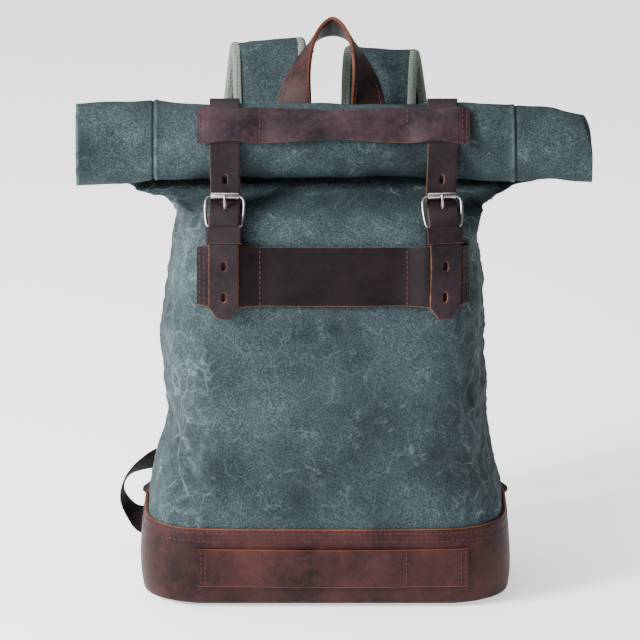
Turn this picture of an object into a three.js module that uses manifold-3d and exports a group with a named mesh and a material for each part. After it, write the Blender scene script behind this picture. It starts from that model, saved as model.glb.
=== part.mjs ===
// A rolltop backpack of waxed canvas and leather. It stands on its base, with the top rolled
// down towards the front and held by two buckled straps.
// Millimetres. X points to the bag's right as seen from the front, Y to its back, Z up.
// The origin lies on the flat underside, below the middle of the bag.
import * as THREE from "three";
import { mergeVertices } from "three/addons/utils/BufferGeometryUtils.js";
import Module from "manifold-3d";

const wasm = await Module();
wasm.setup();

// Walls and clearances
const CANVAS = 2; // two plies of waxed canvas
const LEATHER = 2.4;
const BACK_SEAT = 0.6; // between the canvas and what is sewn to its back
const GAP = 0.3; // between neighbouring pieces

// The bag
const BODY_WIDTH = 310;
const BODY_DEPTH = 152;
const BASE_HEIGHT = 70; // top edge of the leather base
const NECK_HEIGHT = 353; // where the flattened neck enters the roll
const NECK_BACK = 22; // how far behind the middle the neck stands
const NECK_THICKNESS = 10; // both plies and the slit between them
const BASE_LEATHER_START = 5; // the canvas floor shows below this height

// The roll
const ROLL_WIDTH = 427;
const ROLL_HEIGHT = 70;
const ROLL_DEPTH = 54;
const ROLL_SHIFT = 2.5; // the roll's middle lies this far to the right
const ROLL_FORWARD = 8; // and its axis this far in front of the middle
const ROLL_WALL = 2.6; // a folded-over double ply
const ROLL_PITCH = 5.2; // from one winding to the next
const ROLL_TURNS = 2.6;
const ROLL_SINK = 4.2; // the roll's underside hangs this far below the neck's rim
const ROLL_END_CUT = 12; // how far the right end is cut back along its top

// Leather gear strips, each sewn down along four lines
const STRIP_WIDTH = 225;
const TRIM_SHIFT = 2; // strips and buckled straps are centred this far to the right
const ROLL_STRIP_HEIGHT = 31;
const FRONT_STRIP_HEIGHT = 48;
const FRONT_STRIP_TOP = 312;
const BASE_STRIP_HEIGHT = 32;
const BASE_STRIP_TOP = 53;

// Buckled straps
const STRAP_WIDTH = STRIP_WIDTH / 9;
const STRAP_SPACING = 0.8 * STRIP_WIDTH; // the straps pass between the strips' stitch lines
const STRAP_LEATHER = 2.5;
const STRAP_TAIL = 58; // from the top of the front strip to the strap's tip
const SLOT_LENGTH = 9;
const SLOT_WIDTH = 3.4;
const SLOT_PITCH = 26;
const SLOTS_ABOVE = 1; // slots above the one that the prong uses
const SLOTS_BELOW = 3;

// Buckles
const WIRE = 2.8; // diameter of the frame's wire
const BUCKLE_SIDE = 5; // the frame stands out this far beside the strap
const BUCKLE_WIDTH = STRAP_WIDTH + 2 * BUCKLE_SIDE;
const BUCKLE_LENGTH = 26; // from the heel bar to the roller's axis
const BUCKLE_LEAN = 30; // degrees that the buckle leans back
const BUCKLE_CORNER = 5.5;
const BUCKLE_TAPER = 1.6; // how much narrower each side is at the heel bar
const ROLLER = 6.2; // outer diameter of the roller
const PRONG = 2.6; // diameter of the prong
const KEEPER_HEIGHT = 7.5; // at its back; the bent canvas makes its front taller
const KEEPER_LEATHER = 1.5;
const CHAPE_LEATHER = 1.6;
const CHAPE_WIDTH = 0.936 * STRAP_WIDTH;
const CHAPE_TAIL = 20; // how far the chape runs down behind the front strip

// Carry handle
const HANDLE_WIDTH = 30;
const HANDLE_LEATHER = 3.4;
const HANDLE_SPREAD = 60; // between the two ends' middles
const HANDLE_RISE = 136; // from the yoke's top edge to the top of the loop
const HANDLE_REACH = 34; // how far the loop leans back

// Padded shoulder straps
const PAD_WIDTH = 64;
const PAD_THICKNESS = 9;
const PAD_SPREAD = 86; // between the two roots' middles
const PAD_SHIFT = -5.6;
const ARCH_RISE = 116; // from the yoke's top edge to the crest
const ARCH_REACH = 46; // and back to the crest
const PAD_END_HEIGHT = 122; // height of the lower ends
const PAD_END_SPREAD = 186;
const PAD_END_BACK = 100;
const BINDING = 1.2;
const BINDING_COVER = 8; // how far the tape reaches in over each face

// Yoke that holds the straps' and the handle's ends on the back
const YOKE_WIDTH = 0.97 * STRIP_WIDTH; // it also holds the buckled straps
const YOKE_HEIGHT = 44;
const YOKE_TOP = 318;

// Webbing, its slides and its corner tabs
const WEBBING_WIDTH = 25;
const WEBBING = 1.6;
const SLIDE_WIDTH = 33;
const SLIDE_HEIGHT = 24;
const SLIDE_THICKNESS = 2.6;
const TAB_HEIGHT = 30;
const TAB_REACH = 18;
const TAB_MIDDLE = 60; // height of the tabs' middle
const TAB_LEATHER = 3;

// Sections of the leather-clad base, upwards. Rise is a share of the base's height, left and
// right of half the width, front and back of half the depth, corner of half the section's
// depth, and crown of the whole depth.
const BASE_SECTIONS = [
  { rise: 0, left: 0.94, right: 0.89, front: 0.84, back: 0.84, corner: 0.56, crown: 0 },
  { rise: 0.03, left: 0.975, right: 0.925, front: 0.9, back: 0.9, corner: 0.58, crown: 0 },
  { rise: 0.08, left: 0.995, right: 0.94, front: 0.93, back: 0.93, corner: 0.6, crown: 0.005 },
  { rise: 0.25, left: 1.01, right: 0.952, front: 0.96, back: 0.95, corner: 0.6, crown: 0.015 },
  { rise: 0.6, left: 1.013, right: 0.948, front: 0.97, back: 0.96, corner: 0.6, crown: 0.02 },
  { rise: 1, left: 0.984, right: 0.925, front: 0.955, back: 0.96, corner: 0.6, crown: 0.025 },
];

// Sections of the canvas above the base. Rise is a share of the way from the base to the
// neck, and the other columns are as above.
const BODY_SECTIONS = [
  { rise: 0.098, left: 0.955, right: 0.887, front: 0.96, back: 0.96, corner: 0.6, crown: 0.03 },
  { rise: 0.196, left: 0.906, right: 0.847, front: 0.97, back: 0.955, corner: 0.6, crown: 0.035 },
  { rise: 0.297, left: 0.866, right: 0.842, front: 0.975, back: 0.95, corner: 0.6, crown: 0.04 },
  { rise: 0.385, left: 0.894, right: 0.838, front: 0.98, back: 0.945, corner: 0.6, crown: 0.04 },
  { rise: 0.472, left: 0.912, right: 0.818, front: 0.98, back: 0.935, corner: 0.6, crown: 0.04 },
  { rise: 0.577, left: 0.903, right: 0.822, front: 0.975, back: 0.925, corner: 0.5, crown: 0.035 },
  { rise: 0.671, left: 0.872, right: 0.815, front: 0.96, back: 0.91, corner: 0.42, crown: 0.03 },
  { rise: 0.762, left: 0.859, right: 0.785, front: 0.935, back: 0.9, corner: 0.42, crown: 0.025 },
  { rise: 0.825, left: 0.84, right: 0.775, front: 0.915, back: 0.88, corner: 0.42, crown: 0.02 },
  { rise: 0.867, left: 0.83, right: 0.79, front: 0.885, back: 0.86, corner: 0.42, crown: 0.02 },
  { rise: 0.9, left: 0.83, right: 0.82, front: 0.82, back: 0.82, corner: 0.5, crown: 0.02 },
  { rise: 0.938, left: 0.84, right: 0.84, front: 0.7, back: 0.75, corner: 0.62, crown: 0.018 },
  { rise: 0.955, left: 0.84, right: 0.84, front: 0.52, back: 0.66, corner: 0.76, crown: 0.012 },
  { rise: 0.972, left: 0.84, right: 0.84, front: 0.32, back: 0.56, corner: 0.9, crown: 0.004 },
  { rise: 0.986, left: 0.84, right: 0.84, front: 0.2, back: 0.5, corner: 0.94, crown: 0 },
  { rise: 1, left: 0.84, right: 0.84, front: 0.2, back: 0.5, corner: 0.96, crown: 0 },
];

// Where the canvas spreads into the neck. Left and right go from the body's own half width
// to the roll's, and pinch from its depth to the neck's.
const NECK_SPREAD = [
  { rise: 0.867, left: 0, right: 0, pinch: 0 },
  { rise: 0.9, left: 0, right: 0, pinch: 0 },
  { rise: 0.938, left: 0.02, right: 0.1, pinch: 0.03 },
  { rise: 0.955, left: 0.32, right: 0.2, pinch: 0.13 },
  { rise: 0.972, left: 0.64, right: 0.42, pinch: 0.5 },
  { rise: 0.986, left: 0.9, right: 0.76, pinch: 0.92 },
  { rise: 1, left: 1, right: 1, pinch: 1 },
];

// Tucks and hollows in the canvas. Across, along and up are shares of half the width, half
// the depth and the neck's height; reach is a share of the height and depth of the depth.
const DENTS = [
  { name: "tuck under the left wing", across: -0.86, along: -0.3, up: 0.912, reach: 0.06, depth: 0.06 },
  { name: "tuck under the right wing", across: 0.9, along: -0.25, up: 0.935, reach: 0.06, depth: 0.065 },
  { name: "upper hollow, left side", across: -0.9, along: -0.55, up: 0.72, reach: 0.08, depth: 0.03 },
  { name: "pinch, left side", across: -0.86, along: -0.4, up: 0.44, reach: 0.07, depth: 0.05 },
  { name: "pinch, right side", across: 0.8, along: -0.35, up: 0.66, reach: 0.08, depth: 0.045 },
  { name: "lower hollow, right side", across: 0.85, along: -0.4, up: 0.38, reach: 0.09, depth: 0.04 },
];

// The roll along its length, from the left end at -1 to the right end at 1. Height and lift
// are shares of the roll's height, depth of its depth.
const ROLL_SECTIONS = [
  { along: -1, height: 1.06, depth: 1, lift: -0.045 },
  { along: -0.84, height: 1.05, depth: 1, lift: -0.015 },
  { along: -0.69, height: 1.02, depth: 1.02, lift: 0.005 },
  { along: -0.48, height: 0.98, depth: 1, lift: 0 },
  { along: -0.2, height: 0.95, depth: 0.97, lift: 0.01 },
  { along: 0.2, height: 0.95, depth: 0.97, lift: 0.01 },
  { along: 0.48, height: 0.98, depth: 1, lift: 0 },
  { along: 0.69, height: 0.98, depth: 1.02, lift: -0.02 },
  { along: 0.86, height: 0.95, depth: 0.98, lift: -0.03 },
  { along: 1, height: 0.9, depth: 0.95, lift: -0.09 },
];

// How far each strip stands off what it is sewn to, from its middle at 0 to its end at 1.
// The stitch lines are at 0.54 and 0.98, and a strap passes between them. Slack is a share
// of the slack below, and over a share of the stack that the strip bridges there.
const STRIP_WAVE = [
  { out: 0, slack: 0.8, over: 0 },
  { out: 0.16, slack: 1, over: 0 },
  { out: 0.38, slack: 0.8, over: 0 },
  { out: 0.54, slack: 0, over: 0 },
  { out: 0.655, slack: 0, over: 1 },
  { out: 0.78, slack: 0, over: 1 },
  { out: 0.905, slack: 0, over: 1 },
  { out: 0.985, slack: 0.2, over: 0 },
  { out: 1, slack: 0.2, over: 0 },
];
const STRIP_SLACK = 2.4;

const mix = (a, b, t) => a + (b - a) * t;
const radians = THREE.MathUtils.degToRad;
const vector = (x, y, z) => new THREE.Vector3(x, y, z);
const SIDES = { left: -1, right: 1 };

// Straight-line interpolation of every column of a table at one value of its key column.
function rowAt(table, key, value) {
  const last = table.length - 1;
  let i = 0;
  while (i < last - 1 && value > table[i + 1][key]) i++;
  const [low, high] = [table[i], table[i + 1]];
  const t = THREE.MathUtils.clamp((value - low[key]) / (high[key] - low[key]), 0, 1);
  const row = {};
  for (const column of Object.keys(low)) {
    if (typeof low[column] === "number") row[column] = mix(low[column], high[column], t);
  }
  return row;
}

function signedVolume(points, triangles) {
  let sum = 0;
  for (const [a, b, c] of triangles) {
    sum += points[a].dot(points[b].clone().cross(points[c]));
  }
  return sum;
}

function geometryOf(points, triangles) {
  const outward = signedVolume(points, triangles) > 0;
  const positions = [];
  for (const [a, b, c] of triangles) {
    for (const k of outward ? [a, b, c] : [a, c, b]) positions.push(...points[k].toArray());
  }
  const geometry = new THREE.BufferGeometry();
  geometry.setAttribute("position", new THREE.Float32BufferAttribute(positions, 3));
  return geometry;
}

// Triangles that close one ring, found in the plane that the ring faces.
function capOf(ring, start) {
  const facing = vector(0, 0, 0);
  ring.forEach((p, k) => facing.add(p.clone().cross(ring[(k + 1) % ring.length])));
  const turn = new THREE.Quaternion().setFromUnitVectors(facing.normalize(), vector(0, 0, 1));
  const flat = ring.map((p) => {
    const q = p.clone().applyQuaternion(turn);
    return new THREE.Vector2(q.x, q.y);
  });
  return THREE.ShapeUtils.triangulateShape(flat, []).map((t) => t.map((k) => k + start));
}

// A closed solid through a list of rings with equally many points. The first and the last
// ring are capped, or joined to each other if the solid goes round.
function loft(rings, goesRound = false) {
  const count = rings[0].length;
  const points = rings.flat();
  const triangles = [];
  const spans = goesRound ? rings.length : rings.length - 1;
  for (let i = 0; i < spans; i++) {
    const next = (i + 1) % rings.length;
    for (let k = 0; k < count; k++) {
      const a = i * count + k;
      const b = i * count + ((k + 1) % count);
      const c = next * count + ((k + 1) % count);
      const d = next * count + k;
      if (points[a].distanceTo(points[c]) <= points[b].distanceTo(points[d])) {
        triangles.push([a, b, c], [a, c, d]);
      } else {
        triangles.push([a, b, d], [b, c, d]);
      }
    }
  }
  if (!goesRound) {
    const start = capOf(rings[0], 0);
    triangles.push(...start.map(([a, b, c]) => [a, c, b]));
    triangles.push(...capOf(rings.at(-1), (rings.length - 1) * count));
  }
  return geometryOf(points, triangles);
}

function manifoldOf(geometry) {
  const merged = mergeVertices(geometry);
  return new wasm.Manifold(
    new wasm.Mesh({
      numProp: 3,
      vertProperties: merged.attributes.position.array,
      triVerts: new Uint32Array(merged.index.array),
    }),
  );
}

// The geometry with every cutter taken out of it.
function cut(geometry, cutters) {
  let solid = manifoldOf(geometry);
  for (const cutter of cutters) solid = solid.subtract(manifoldOf(cutter));
  const mesh = solid.getMesh();
  const made = new THREE.BufferGeometry();
  made.setAttribute("position", new THREE.Float32BufferAttribute(mesh.vertProperties, 3));
  made.setIndex(new THREE.BufferAttribute(mesh.triVerts, 1));
  return made.toNonIndexed();
}

// One section of the bag in real sizes.
const NO_SPREAD = { left: 0, right: 0, pinch: 0 };
function section(height, row, spread = NO_SPREAD) {
  const slit = NECK_THICKNESS / 2;
  const left = mix((row.left * BODY_WIDTH) / 2, ROLL_WIDTH / 2 - ROLL_SHIFT, spread.left);
  const right = mix((row.right * BODY_WIDTH) / 2, ROLL_WIDTH / 2 + ROLL_SHIFT, spread.right);
  const front = mix((-row.front * BODY_DEPTH) / 2, NECK_BACK - slit, spread.pinch);
  const back = mix((row.back * BODY_DEPTH) / 2, NECK_BACK + slit, spread.pinch);
  const corner = (row.corner * (back - front)) / 2;
  return { height, left, right, front, back, corner, crown: row.crown * BODY_DEPTH };
}

const SECTIONS = [
  ...BASE_SECTIONS.map((row) => section(row.rise * BASE_HEIGHT, row)),
  ...BODY_SECTIONS.map((row) => {
    return section(mix(BASE_HEIGHT, NECK_HEIGHT, row.rise), row, rowAt(NECK_SPREAD, "rise", row.rise));
  }),
];

// Points round one section, anticlockwise from the front's left end as seen from above.
const FRONT_STEPS = 7;
const CORNER_STEPS = 4;
const SIDE_STEPS = 3;
const BACK_STEPS = 4;
function outline({ height, left, right, front, back, corner, crown }) {
  const points = [];
  const line = (x0, y0, x1, y1, steps) => {
    for (let k = 0; k < steps; k++) points.push([mix(x0, x1, k / steps), mix(y0, y1, k / steps)]);
  };
  const arc = (x, y, from) => {
    for (let k = 0; k < CORNER_STEPS; k++) {
      const a = from + (k / CORNER_STEPS) * (Math.PI / 2);
      points.push([x + corner * Math.cos(a), y + corner * Math.sin(a)]);
    }
  };
  line(-left + corner, front, right - corner, front, FRONT_STEPS);
  arc(right - corner, front + corner, -Math.PI / 2);
  line(right, front + corner, right, back - corner, SIDE_STEPS);
  arc(right - corner, back - corner, 0);
  line(right - corner, back, -left + corner, back, BACK_STEPS);
  arc(-left + corner, back - corner, Math.PI / 2);
  line(-left, back - corner, -left, front + corner, SIDE_STEPS);
  arc(-left + corner, front + corner, Math.PI);
  return points.map(([x, y]) => {
    const bulge = crown * Math.max(0, 1 - (x / (x < 0 ? left : right)) ** 2);
    const share = THREE.MathUtils.clamp((y - back) / (front - back), 0, 1);
    return vector(x, y - bulge * share, height);
  });
}

// The front's or the back's place at one spot, on the flat facets between the sections.
function faceY(x, z, face) {
  let i = 0;
  while (i < SECTIONS.length - 2 && z > SECTIONS[i + 1].height) i++;
  const [low, high] = [SECTIONS[i].height, SECTIONS[i + 1].height];
  const ring = SKIN[i].map((p, k) => p.clone().lerp(SKIN[i + 1][k], (z - low) / (high - low)));
  const crossings = ring.flatMap((p, k) => {
    const next = ring[(k + 1) % ring.length];
    if (p.x > x === next.x > x) return [];
    return [mix(p.y, next.y, (x - p.x) / (next.x - p.x))];
  });
  return face === "back" ? Math.max(...crossings) : Math.min(...crossings);
}

// The canvas's outermost point in the tab's direction, at one height.
function cornerPoint(side, z) {
  const i = SECTIONS.findIndex((one) => one.height >= z);
  const share = (z - SECTIONS[i - 1].height) / (SECTIONS[i].height - SECTIONS[i - 1].height);
  const ring = SKIN[i - 1].map((p, k) => p.clone().lerp(SKIN[i][k], share));
  const way = vector(side * Math.cos(radians(TAB_TURN)), Math.sin(radians(TAB_TURN)), 0);
  return ring.reduce((best, p) => (p.dot(way) > best.dot(way) ? p : best));
}

// The section heights between two heights, with both ends, downwards.
function levelsBetween(low, high) {
  const inside = SECTIONS.map((one) => one.height).filter((h) => h > low + 1 && h < high - 1);
  return [low, ...inside, high].reverse();
}

// A point that stands off the front or the back by a distance square to the canvas.
const SLOPE_STEP = 6;
function facePoint(x, z, off, face = "front") {
  const out = face === "front" ? -1 : 1;
  const y = faceY(x, z, face);
  const slope = (faceY(x, z + SLOPE_STEP, face) - faceY(x, z - SLOPE_STEP, face)) / (2 * SLOPE_STEP);
  const normal = vector(0, 1, -slope).normalize().multiplyScalar(out * off);
  return vector(x, y, z).add(normal);
}

// The flat place at one buckled strap: the plane across it that just clears the canvas.
const PLACE_HALF = STRAP_WIDTH / 2 + 2;
const STRAP_SLOPE_STEP = 20;
const PLACE_SAMPLES = [-1, -0.5, 0, 0.5, 1];
const strapX = (side) => TRIM_SHIFT + (side * STRAP_SPACING) / 2;
function strapPlace(side, z, face = "front") {
  const x = strapX(side);
  const skin = PLACE_SAMPLES.map((share) => faceY(x + share * PLACE_HALF, z, face));
  const rise = (skin.at(-1) - skin[0]) / 2;
  const level = PLACE_SAMPLES.map((share, k) => skin[k] - share * rise);
  return { y: face === "front" ? Math.min(...level) : Math.max(...level), slope: rise / PLACE_HALF };
}

// A point at one strap, aside from its middle and off the plane across it.
function strapPoint(side, aside, z, off, face = "front") {
  const out = face === "front" ? -1 : 1;
  const { y, slope } = strapPlace(side, z, face);
  const above = strapPlace(side, z + STRAP_SLOPE_STEP, face).y;
  const below = strapPlace(side, z - STRAP_SLOPE_STEP, face).y;
  const lean = (above - below) / (2 * STRAP_SLOPE_STEP);
  const normal = vector(-slope, 1, -lean).normalize().multiplyScalar(out * off);
  return vector(strapX(side) + aside, y + aside * slope, z).add(normal);
}
const strapNormal = (side, z, face = "front") => {
  return strapPoint(side, 0, z, 1, face).sub(strapPoint(side, 0, z, 0, face));
};

function dented(point) {
  const moved = point.clone();
  for (const { across, along, up, reach, depth } of DENTS) {
    const size = reach * NECK_HEIGHT;
    const middle = vector((across * BODY_WIDTH) / 2, (along * BODY_DEPTH) / 2, up * NECK_HEIGHT);
    const fade = Math.exp(-point.distanceToSquared(middle) / size ** 2);
    const inward = vector(-point.x, -point.y, 0).normalize();
    moved.addScaledVector(inward, depth * BODY_DEPTH * fade);
  }
  return moved;
}

// Outward directions over a grid of rings, from each point's neighbours.
function normalsOf(rings) {
  return rings.map((ring, i) =>
    ring.map((point, k) => {
      const below = rings[Math.max(i - 1, 0)][k];
      const above = rings[Math.min(i + 1, rings.length - 1)][k];
      const before = ring[(k + ring.length - 1) % ring.length];
      const after = ring[(k + 1) % ring.length];
      return after.clone().sub(before).cross(above.clone().sub(below)).normalize();
    }),
  );
}

const SKIN = SECTIONS.map((one) => outline(one).map(dented));
const SKIN_NORMALS = normalsOf(SKIN);
const offSkin = (i, off) => SKIN[i].map((p, k) => p.clone().addScaledVector(SKIN_NORMALS[i][k], off));

function canvasBody() {
  const top = SKIN.length - 1;
  const inside = SKIN.map((_, i) => offSkin(i, -CANVAS)).reverse();
  const rim = SKIN[top].map((p, k) => {
    const level = SKIN_NORMALS[top][k].clone().setZ(0).normalize();
    return p.clone().addScaledVector(level, -CANVAS);
  });
  inside[0] = rim;
  return loft([...SKIN, ...inside]);
}

function baseLeather() {
  const levels = SECTIONS.flatMap(({ height }, i) => {
    return height >= BASE_LEATHER_START - 0.01 && height <= BASE_HEIGHT + 0.01 ? [i] : [];
  });
  const outside = levels.map((i) => offSkin(i, GAP + LEATHER));
  const inside = levels.map((i) => offSkin(i, GAP)).reverse();
  return loft([...outside, ...inside], true);
}

// The roll's oval at one place along it.
function rollOval(along) {
  const row = rowAt(ROLL_SECTIONS, "along", along);
  const axis = NECK_HEIGHT - ROLL_SINK + ROLL_HEIGHT / 2;
  return {
    y: -ROLL_FORWARD,
    z: axis + row.lift * ROLL_HEIGHT,
    deep: (row.depth * ROLL_DEPTH) / 2,
    high: (row.height * ROLL_HEIGHT) / 2,
  };
}
const rollAlong = (x) => (x - ROLL_SHIFT) / (ROLL_WIDTH / 2);

// A point on the roll's outside. The angle runs from the back, 0, over the top, 90, to the
// front, 180.
function rollPoint(x, degrees, off) {
  const { y, z, deep, high } = rollOval(rollAlong(x));
  const [c, s] = [Math.cos(radians(degrees)), Math.sin(radians(degrees))];
  const normal = vector(0, c / deep, s / high).normalize();
  return vector(x, y + deep * c, z + high * s).addScaledVector(normal, off);
}

const ROLL_STEP = 30; // degrees from one point of the spiral to the next
const ROLL_START = -8; // angle where the neck's cloth joins the oval
function rollSpiral(along) {
  const { y, z, deep, high } = rollOval(along);
  const seat = NECK_HEIGHT + GAP;
  const join = z + (high - ROLL_WALL / 2) * Math.sin(radians(ROLL_START));
  const line = [
    { y: NECK_BACK, z: seat, half: NECK_THICKNESS / 2 - 0.4 },
    { y: mix(NECK_BACK, y + deep, 0.6), z: mix(seat, join, 0.5), half: ROLL_WALL * 0.75 },
  ];
  const end = ROLL_START + ROLL_TURNS * 360;
  for (let a = ROLL_START; a <= end; a += ROLL_STEP) {
    const inset = ROLL_WALL / 2 + (ROLL_PITCH * (a - ROLL_START)) / 360;
    line.push({
      y: y + (deep - inset) * Math.cos(radians(a)),
      z: z + (high - inset) * Math.sin(radians(a)),
      half: ROLL_WALL / 2,
    });
  }
  return line;
}

function canvasRoll() {
  const rings = ROLL_SECTIONS.map(({ along }) => {
    const line = rollSpiral(along);
    const x = ROLL_SHIFT + (along * ROLL_WIDTH) / 2;
    const axis = rollOval(along).z;
    const sides = [1, -1].map((side) =>
      line.map((p, k) => {
        const before = line[Math.max(k - 1, 0)];
        const after = line[Math.min(k + 1, line.length - 1)];
        const length = Math.hypot(after.y - before.y, after.z - before.z);
        const ny = k === 0 ? 1 : (after.z - before.z) / length;
        const nz = k === 0 ? 0 : -(after.y - before.y) / length;
        const z = p.z + side * nz * p.half;
        const top = THREE.MathUtils.clamp((z - axis) / (ROLL_HEIGHT / 2), 0, 1);
        const shorter = ROLL_END_CUT * Math.max(0, along) ** 8 * top ** 2;
        return vector(x - shorter, p.y + side * ny * p.half, z);
      }),
    );
    return [...sides[0], ...sides[1].reverse()];
  });
  return loft(rings);
}

// A strip along X. Place gives its point at a distance from the middle, at one of the given
// levels across the strip and at an offset from what it is sewn to.
function strip(place, shares, slack, stack) {
  const outs = [...STRIP_WAVE.slice(1).reverse().map((r) => -r.out), ...STRIP_WAVE.map((r) => r.out)];
  const rings = outs.map((out) => {
    const wave = rowAt(STRIP_WAVE, "out", Math.abs(out));
    const off = GAP + wave.slack * slack + wave.over * stack;
    const x = TRIM_SHIFT + (out * STRIP_WIDTH) / 2;
    const over = wave.over > 0.5 ? Math.sign(out) : 0;
    return [
      ...shares.map((share) => place(x, share, off + LEATHER, over)),
      ...[...shares].reverse().map((share) => place(x, share, off, over)),
    ];
  });
  return loft(rings);
}

const ROLL_STRIP_TOP_ANGLE = 115; // where the strip's upper edge lies on the roll
function rollStrip() {
  const radius = (ROLL_HEIGHT + ROLL_DEPTH) / 4 + STRAP_LEATHER;
  const span = THREE.MathUtils.radToDeg(ROLL_STRIP_HEIGHT / radius);
  const place = (x, share, off) => rollPoint(x, ROLL_STRIP_TOP_ANGLE + share * span, off);
  return strip(place, [0, 1 / 3, 2 / 3, 1], STRIP_SLACK, STRAP_LEATHER + 4 * GAP);
}

// Stack at the buckled straps, outwards from the canvas. Beside the front strip it is the
// keeper's back, the folded chape and the strap. Under the strip only the chape lies.
const CHAPE_SPREAD = WIRE / 2 + GAP + CHAPE_LEATHER / 2;
const KEEPER_CLEAR = 1.3; // the keeper's back, off the bent canvas
const HEEL_LIFT = 1.8; // the bar stands this far off the chape's back
const HEEL_OFF = KEEPER_CLEAR + KEEPER_LEATHER + GAP + CHAPE_LEATHER + HEEL_LIFT;
const PRONG_WRAP = WIRE / 2 + GAP + PRONG;
const STRAP_OFF = HEEL_OFF + CHAPE_SPREAD + CHAPE_LEATHER / 2 + GAP + STRAP_LEATHER / 2;
const STRIP_OVER = STRAP_OFF - STRAP_LEATHER / 2 - GAP - LEATHER - GAP;

function frontStrip() {
  const levels = levelsBetween(FRONT_STRIP_TOP - FRONT_STRIP_HEIGHT, FRONT_STRIP_TOP);
  const place = (x, z, off, over) => {
    return over ? strapPoint(over, x - strapX(over), z, off) : facePoint(x, z, off);
  };
  return strip(place, levels, STRIP_SLACK, STRIP_OVER);
}

function baseStrip() {
  const seat = LEATHER + 2 * GAP;
  const place = (x, z, off) => facePoint(x, z, seat + off);
  const levels = levelsBetween(BASE_STRIP_TOP - BASE_STRIP_HEIGHT, BASE_STRIP_TOP);
  return strip(place, levels, STRIP_SLACK / 2, 0);
}

// A band swept along a smooth line. Each row gives a point of the line, the direction that
// the band's face looks, and its width and thickness. Shape turns these into a ring.
const flatBand = (half, thick) => [
  [-half, -thick],
  [half, -thick],
  [half, thick],
  [-half, thick],
];
function bandRings(rows, steps, shape = flatBand) {
  const line = new THREE.CatmullRomCurve3(rows.map((r) => r.at), false, "centripetal");
  const faces = new THREE.CatmullRomCurve3(rows.map((r) => r.face), false, "centripetal");
  return Array.from({ length: steps + 1 }, (_, k) => {
    const t = k / steps;
    const place = t * (rows.length - 1);
    const low = Math.min(Math.floor(place), rows.length - 2);
    const [a, b] = [rows[low], rows[low + 1]];
    const middle = line.getPoint(t);
    const along = line.getTangent(t);
    const across = along.clone().cross(faces.getPoint(t)).normalize();
    const out = across.clone().cross(along).normalize();
    const half = mix(a.width, b.width, place - low) / 2;
    const thick = mix(a.thick, b.thick, place - low) / 2;
    return shape(half, thick).map(([w, n]) => {
      return middle.clone().addScaledVector(across, w).addScaledVector(out, n);
    });
  });
}
const band = (rows, steps, shape) => loft(bandRings(rows, steps, shape));

// The buckle's own frame at one strap: the heel bar's middle, the way across, the way up to
// the roller, and the way out of its plane.
const KEEPER_RISE = 1.2; // from the front strip to the keeper
const HEEL_CLEAR = 3.1; // from the keeper to the heel bar
const HEEL_RISE = KEEPER_RISE + KEEPER_HEIGHT + HEEL_CLEAR;
function buckleFrame(side) {
  const heelHeight = FRONT_STRIP_TOP + HEEL_RISE;
  const heel = strapPoint(side, 0, heelHeight, HEEL_OFF);
  const across = vector(1, strapPlace(side, heelHeight).slope, 0).normalize();
  const level = vector(across.y, -across.x, 0);
  const lean = radians(BUCKLE_LEAN);
  const up = vector(0, 0, Math.cos(lean)).addScaledVector(level, -Math.sin(lean));
  const out = level.clone().multiplyScalar(Math.cos(lean)).add(vector(0, 0, Math.sin(lean)));
  const at = (rise, off, aside = 0) => {
    return heel.clone().addScaledVector(up, rise).addScaledVector(out, off).addScaledVector(across, aside);
  };
  return { heel, across, up, out, at };
}

// The strap's line through the buckle. Up is a share of the buckle's length, over and behind
// are shares of its offset over the heel bar and behind the roller.
const STRAP_IN_BUCKLE = [
  { up: 1.02, over: 0, behind: 1 },
  { up: 0.72, over: 0, behind: 0.62 },
  { up: 0.45, over: 0.3, behind: 0 },
  { up: 0.18, over: 0.95, behind: 0 },
  { up: 0, over: 1, behind: 0 },
];
const PRONG_HOLE = 0.62; // where the prong passes through the strap
const ROLLER_CLEAR = 0.5; // from the strap to the roller above it

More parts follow.
